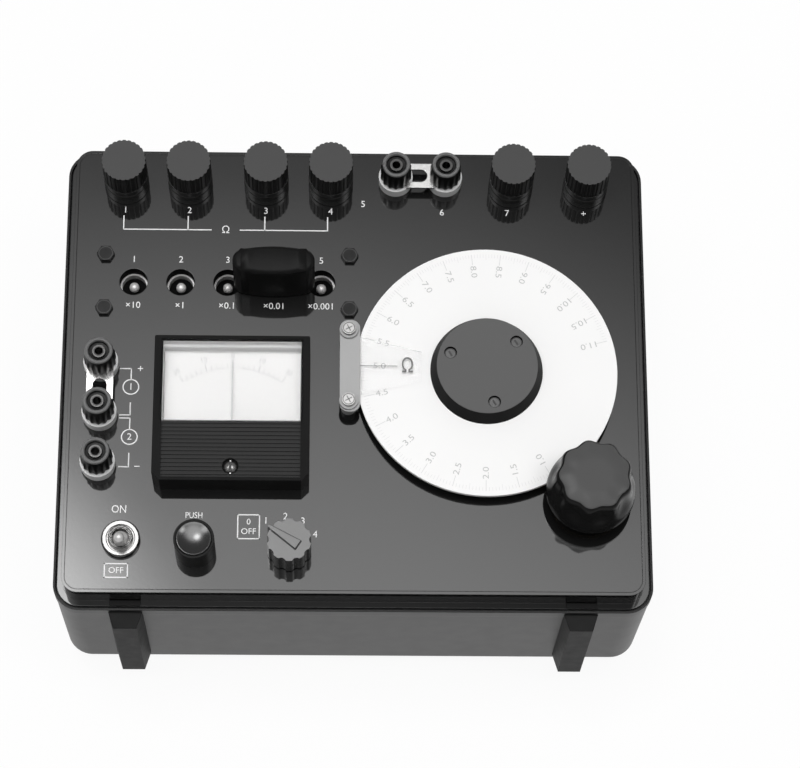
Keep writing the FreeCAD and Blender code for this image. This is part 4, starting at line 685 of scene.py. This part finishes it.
# the plug's grip: bowed sides, round ends and a soft top edge
plugShape = {"bow": 0.36, "cuts": 9, "corner": 4.2 * mm, "cornerSteps": 6, "topEdge": 2.2 * mm,
             "topSteps": 4, "endShare": 0.99, "slack": 0.01 * mm, "steep": 0.5}
low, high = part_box("plug_grip")
mid = (low + high) / 2
half = (high - low) / 2
work = bmesh.new()
bmesh.ops.create_cube(work, size=2, matrix=Matrix.Translation(mid) @ Matrix.Diagonal((*half, 1)))
lengthwise = [edge for edge in work.edges if abs(edge.verts[0].co.x - edge.verts[1].co.x) > half.x]
bmesh.ops.subdivide_edges(work, edges=lengthwise, cuts=plugShape["cuts"], use_grid_fill=True)
for vert in work.verts:
    share = (vert.co.x - mid.x) / half.x
    vert.co.y = mid.y + (vert.co.y - mid.y) * (1 - plugShape["bow"] * share * share)
ends = [edge for edge in work.edges
        if abs(edge.verts[0].co.z - edge.verts[1].co.z) > half.z
        and abs(edge.verts[0].co.x - mid.x) > plugShape["endShare"] * half.x]
bmesh.ops.bevel(work, geom=ends, offset=plugShape["corner"], segments=plugShape["cornerSteps"], profile=0.5,
                affect="EDGES", material=-1)
work.normal_update()
rim = [edge for edge in work.edges if min(vert.co.z for vert in edge.verts) > high.z - plugShape["slack"]
       and any(abs(face.normal.z) < plugShape["steep"] for face in edge.link_faces)]
bmesh.ops.bevel(work, geom=rim, offset=plugShape["topEdge"], segments=plugShape["topSteps"], profile=0.5,
                affect="EDGES", material=-1)
plugGrip = place(work, "plugGrip", "plug_unit", plugFinish, smooth=True)
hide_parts("plug_grip")

# the push button: a shallow dish with a rounded rim
buttonShape = {"stem": 3.0 * mm, "radius": 8.5 * mm, "shoulder": 12.0 * mm, "rim": 0.5 * mm,
               "ease": 0.15 * mm, "lip": 0.06 * mm, "dishEdge": 7.7 * mm, "dish": 1.15 * mm, "dishSteps": 8}
low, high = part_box("push_button")
shoulder = low.z + buttonShape["shoulder"]
radius = buttonShape["radius"]
rim = buttonShape["rim"]
ease = buttonShape["ease"]
outline = [(0, low.z), (buttonShape["stem"], low.z), (buttonShape["stem"], shoulder), (radius, shoulder),
           (radius, high.z - rim), (radius - ease, high.z - ease), (radius - rim, high.z)]
for step in range(buttonShape["dishSteps"] + 1):
    share = 1 - step / buttonShape["dishSteps"]
    outline.append((buttonShape["dishEdge"] * share,
                    high.z - buttonShape["lip"] - buttonShape["dish"] * (1 - share * share)))
work = bmesh.new()
lathe(work, middle("push_button"), outline)
pushButton = place(work, "pushButton", "button_unit", buttonFinish, smooth=True)
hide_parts("push_button")
print("plug and button shaped")

# the meter's zero screw: a domed head with a slot
zeroShape = {"stem": 1.5 * mm, "head": 3.5 * mm, "dome": 1.5 * mm, "headDrop": 1.8 * mm,
             "domeSteps": 6, "slotHalf": 0.55 * mm, "slotDepth": 1.1 * mm, "slotFoot": 0.1 * mm,
             "shade": {"drop": 0.7 * mm, "rise": 0.05 * mm, "sunk": 0.5 * mm, "half": 2.5 * mm,
                       "width": 1.045 * mm}}
low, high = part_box("zero_screw")
headFoot = high.z - zeroShape["headDrop"]
outline = [(0, low.z), (zeroShape["stem"], low.z), (zeroShape["stem"], headFoot),
           (zeroShape["head"], headFoot)]
for step in range(zeroShape["domeSteps"] + 1):
    share = 1 - step / zeroShape["domeSteps"]
    outline.append((zeroShape["head"] * share, high.z - zeroShape["dome"] * share * share))
centre = middle("zero_screw")
work = bmesh.new()
lathe(work, centre, outline)
bmesh.ops.remove_doubles(work, verts=work.verts, dist=weldGap)
for side in (-1, 1):
    bmesh.ops.bisect_plane(work, geom=work.verts[:] + work.edges[:] + work.faces[:],
                           plane_co=(centre.x + side * zeroShape["slotHalf"], centre.y, 0),
                           plane_no=(1, 0, 0))
strip = [face for face in work.faces
         if abs(face.calc_center_median().x - centre.x) < zeroShape["slotHalf"]
         and face.calc_center_median().z > headFoot + zeroShape["slotFoot"]]
sunk = bmesh.ops.extrude_face_region(work, geom=strip)
bmesh.ops.translate(work, vec=(0, 0, -zeroShape["slotDepth"]),
                    verts=[item for item in sunk["geom"] if isinstance(item, bmesh.types.BMVert)])
bmesh.ops.delete(work, geom=strip, context="FACES")
zeroScrew = place(work, "zeroScrew", "zero_unit", ownFinish["cursor_screws"], smooth=True)
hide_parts("zero_screw")
# painted shade: a near-black bar sunk in the slot darkens its floor
shade = zeroShape["shade"]
slotMark = Print(high.z - shade["drop"], shade["rise"], shade["sunk"])
slotReach = Vector((0, shade["half"], 0))
slotMark.bar(centre - slotReach, centre + slotReach, shade["width"])
slotMark.lay("zeroSlotShade", "zero_unit", paintedShadeInk)

# the toggle's nut with its turned rings, and the thread of its bush
toggleShape = {
    "nut": [(6.05, 0), (9.35, 0), (9.35, 2.5), (9.15, 3.1), (8.6, 3.5), (7.0, 3.5), (6.75, 3.0),
            (6.05, 3.0)],
    "bush": [(6.0, 4.9), (6.0, 5.25), (5.65, 5.5), (5.35, 5.1), (5.1, 5.1), (4.9, 5.45), (4.6, 5.3),
             (4.55, 4.9)],
}
toggleSpot = middle("toggle_nut")


def toggleRing(name, rows):
    work = bmesh.new()
    lathe(work, toggleSpot, [(radius * mm, deckTop + rise * mm) for radius, rise in rows], closed=True)
    return place(work, name, "base", turnedFinish, smooth=True)


toggleNut = toggleRing("toggleNut", toggleShape["nut"])
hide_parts("toggle_nut")
toggleRing("toggleThread", toggleShape["bush"])

# small terminal caps: fluted skirt, plain collar, open top round the tube
jackShape = {
    "outline": [(3.35, 0), (7.8, 0), (7.8, 0.5), (7.7, 8.6), (7.1, 9.6), (6.9, 13.1), (6.6, 13.8),
                (6.1, 14.0), (5.4, 13.9), (5.0, 13.3), (4.8, 11.6), (3.35, 11.5)],
    "flutes": 14, "depth": 0.7 * mm, "rim": 7.8 * mm, "fluteFoot": 0.1 * mm, "fluteTop": 9.0 * mm,
    "steps": 84,
}
for number in jackNumbers:
    node = f"small_cap_{number}"
    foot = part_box(node)[0].z
    work = bmesh.new()
    lathe(work, middle(node), [(radius * mm, foot + rise * mm) for radius, rise in jackShape["outline"]],
          jackShape["steps"], closed=True)
    ripple(work, middle(node), jackShape, foot - jackShape["fluteFoot"], foot, foot + jackShape["fluteTop"])
    jackCap = place(work, f"jackCap{number}", f"jack_{number}", jackFinish, smooth=True)
    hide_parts(node)

# socket wells lined in the block's matt black, made near-black as painted shade inside the bore, and round contact
# tips on the pins
socketShape = {
    "well": [(6.86, -6.4), (6.99, -6.4), (6.99, -0.05), (6.86, -0.1)],
    "tip": 2.45 * mm, "tipRise": 2.2 * mm, "tipFoot": 1.6 * mm, "tipStart": 0.6 * mm, "tipSteps": 6,
    "turnSteps": 32,
}
wells = bmesh.new()
tips = bmesh.new()
wellOutline = [(radius * mm, deckTop + rise * mm) for radius, rise in socketShape["well"]]
tipOutline = [(socketShape["tip"], pinHigh.z - socketShape["tipFoot"])]
for step in range(socketShape["tipSteps"] + 1):
    angle = math.pi / 2 * step / socketShape["tipSteps"]
    tipOutline.append((socketShape["tip"] * math.cos(angle),
                       pinHigh.z - socketShape["tipStart"] + socketShape["tipRise"] * math.sin(angle)))
for spot in socketSpots:
    lathe(wells, spot, wellOutline, closed=True)
    lathe(tips, spot, tipOutline, socketShape["turnSteps"])
place(wells, "socketWells", "base", ownFinish["socket_block"], smooth=True)
place(tips, "socketTips", "base", ownFinish["socket_rings"], smooth=True)

# the drive knob: plain skirt, nine soft lobes and a flat top painted paler as painted light
driveShape = {
    "outline": [(0, 0), (21.2, 0), (21.5, 0.5), (21.4, 3.0), (20.8, 6.5), (20.0, 9.5), (19.3, 13.0),
                (18.9, 17.0), (18.6, 20.5), (18.2, 22.8), (17.6, 24.1), (16.9, 24.7), (16.2, 25.0),
                (8.0, 25.0), (0, 25.0)],
    "flutes": 9, "depth": 1.5 * mm, "rim": 18.5 * mm, "low": 7.0 * mm, "full": 16.0 * mm, "high": 26.0 * mm,
    "steps": 126,
}
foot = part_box("drive_knob")[0].z
work = bmesh.new()
centre = middle("drive_knob")
lathe(work, centre, [(radius * mm, foot + rise * mm) for radius, rise in driveShape["outline"]],
      driveShape["steps"])
ripple(work, centre, driveShape, foot + driveShape["low"], foot + driveShape["full"],
       foot + driveShape["high"])
driveKnob = place(work, "driveKnob", "drive_unit", driveFinish, smooth=True)
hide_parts("drive_knob")
print("turned pieces made")

# pale floor and soft studio light
studio = {
    "floorSize": 6.0, "floorTone": 0.86, "floorShow": 0.93, "floorDrop": 0.2 * mm, "sky": 0.32,
    "patches": [{"aim": (-0.05, 0.06, 1.0), "level": 4.3, "edge": (0.910, 0.9950)},
                {"aim": (-0.16, 0.22, 0.96), "level": 13.0, "edge": (0.9905, 0.9995)},
                {"aim": (0.40, -0.05, 0.91), "level": 9.0, "edge": (0.989, 0.995)},
                {"aim": (-0.44, -0.05, 0.90), "level": 6.0, "edge": (0.989, 0.995)}],
}
floorWork = bmesh.new()
bmesh.ops.create_grid(floorWork, x_segments=1, y_segments=1, size=studio["floorSize"] / 2,
                      matrix=Matrix.Translation((0, 0, -studio["floorDrop"])))
floorMesh = bpy.data.meshes.new("floor")
floorWork.to_mesh(floorMesh)
floorWork.free()
floor = bpy.data.objects.new("floor", floorMesh)
bpy.context.scene.collection.objects.link(floor)


def seenDirectly(board):
    rays = board.node("ShaderNodeLightPath").socket.node.outputs
    seen = Wire(board, rays["Is Camera Ray"])
    seen = seen + Wire(board, rays["Is Glossy Ray"])
    return board.maths("MINIMUM", seen + Wire(board, rays["Is Transmission Ray"]), 1.0)


floorFinish = bpy.data.materials.new("paleFloor")
floorFinish.use_nodes = True
floorFinish.node_tree.nodes.clear()
floorBoard = Board(floorFinish.node_tree)
matt = floorBoard.node("ShaderNodeBsdfDiffuse", None, {"Color": grey(studio["floorTone"])})
glow = floorBoard.node("ShaderNodeEmission", None, {"Color": grey(1.0), "Strength": 1.0})
mixed = floorBoard.node("ShaderNodeMixShader", None,
                        {0: seenDirectly(floorBoard) * studio["floorShow"], 1: matt, 2: glow})
floorBoard.node("ShaderNodeOutputMaterial", None, {"Surface": mixed})
floorMesh.materials.append(floorFinish)

world = bpy.data.worlds.new("studio")
bpy.context.scene.world = world
world.use_nodes = True
world.node_tree.nodes.clear()
sky = Board(world.node_tree)
aim = sky.node("ShaderNodeTexCoord", out="Generated")
level = studio["sky"]
for patch in studio["patches"]:
    towards = sky.node("ShaderNodeVectorMath", {"operation": "DOT_PRODUCT"},
                       {0: aim, 1: Vector(patch["aim"]).normalized()}, out="Value")
    near, far = patch["edge"]
    share = sky.node("ShaderNodeMapRange", {"interpolation_type": "SMOOTHERSTEP"},
                     {"Value": towards, "From Min": near, "From Max": far, "To Min": 0.0, "To Max": 1.0})
    level = share * patch["level"] + level
light = sky.node("ShaderNodeBackground", None, {"Color": grey(1.0), "Strength": level})
sky.node("ShaderNodeOutputWorld", None, {"Surface": light})
print("studio lit")

# camera at the photograph's viewing angle
viewpoint = {
    "lens": 134.92, "sensor": 36.0, "place": (-13.62, -503.43, 1493.06),
    "turn": (19.8715, -1.4658, -0.0354),
}
cameraData = bpy.data.cameras.new("camera")
cameraData.lens = viewpoint["lens"]
cameraData.sensor_width = viewpoint["sensor"]
camera = bpy.data.objects.new("camera", cameraData)
camera.location = Vector(viewpoint["place"]) * mm
camera.rotation_euler = [math.radians(angle) for angle in viewpoint["turn"]]
bpy.context.scene.collection.objects.link(camera)
bpy.context.scene.camera = camera
bpy.context.scene.view_settings.view_transform = "Standard"
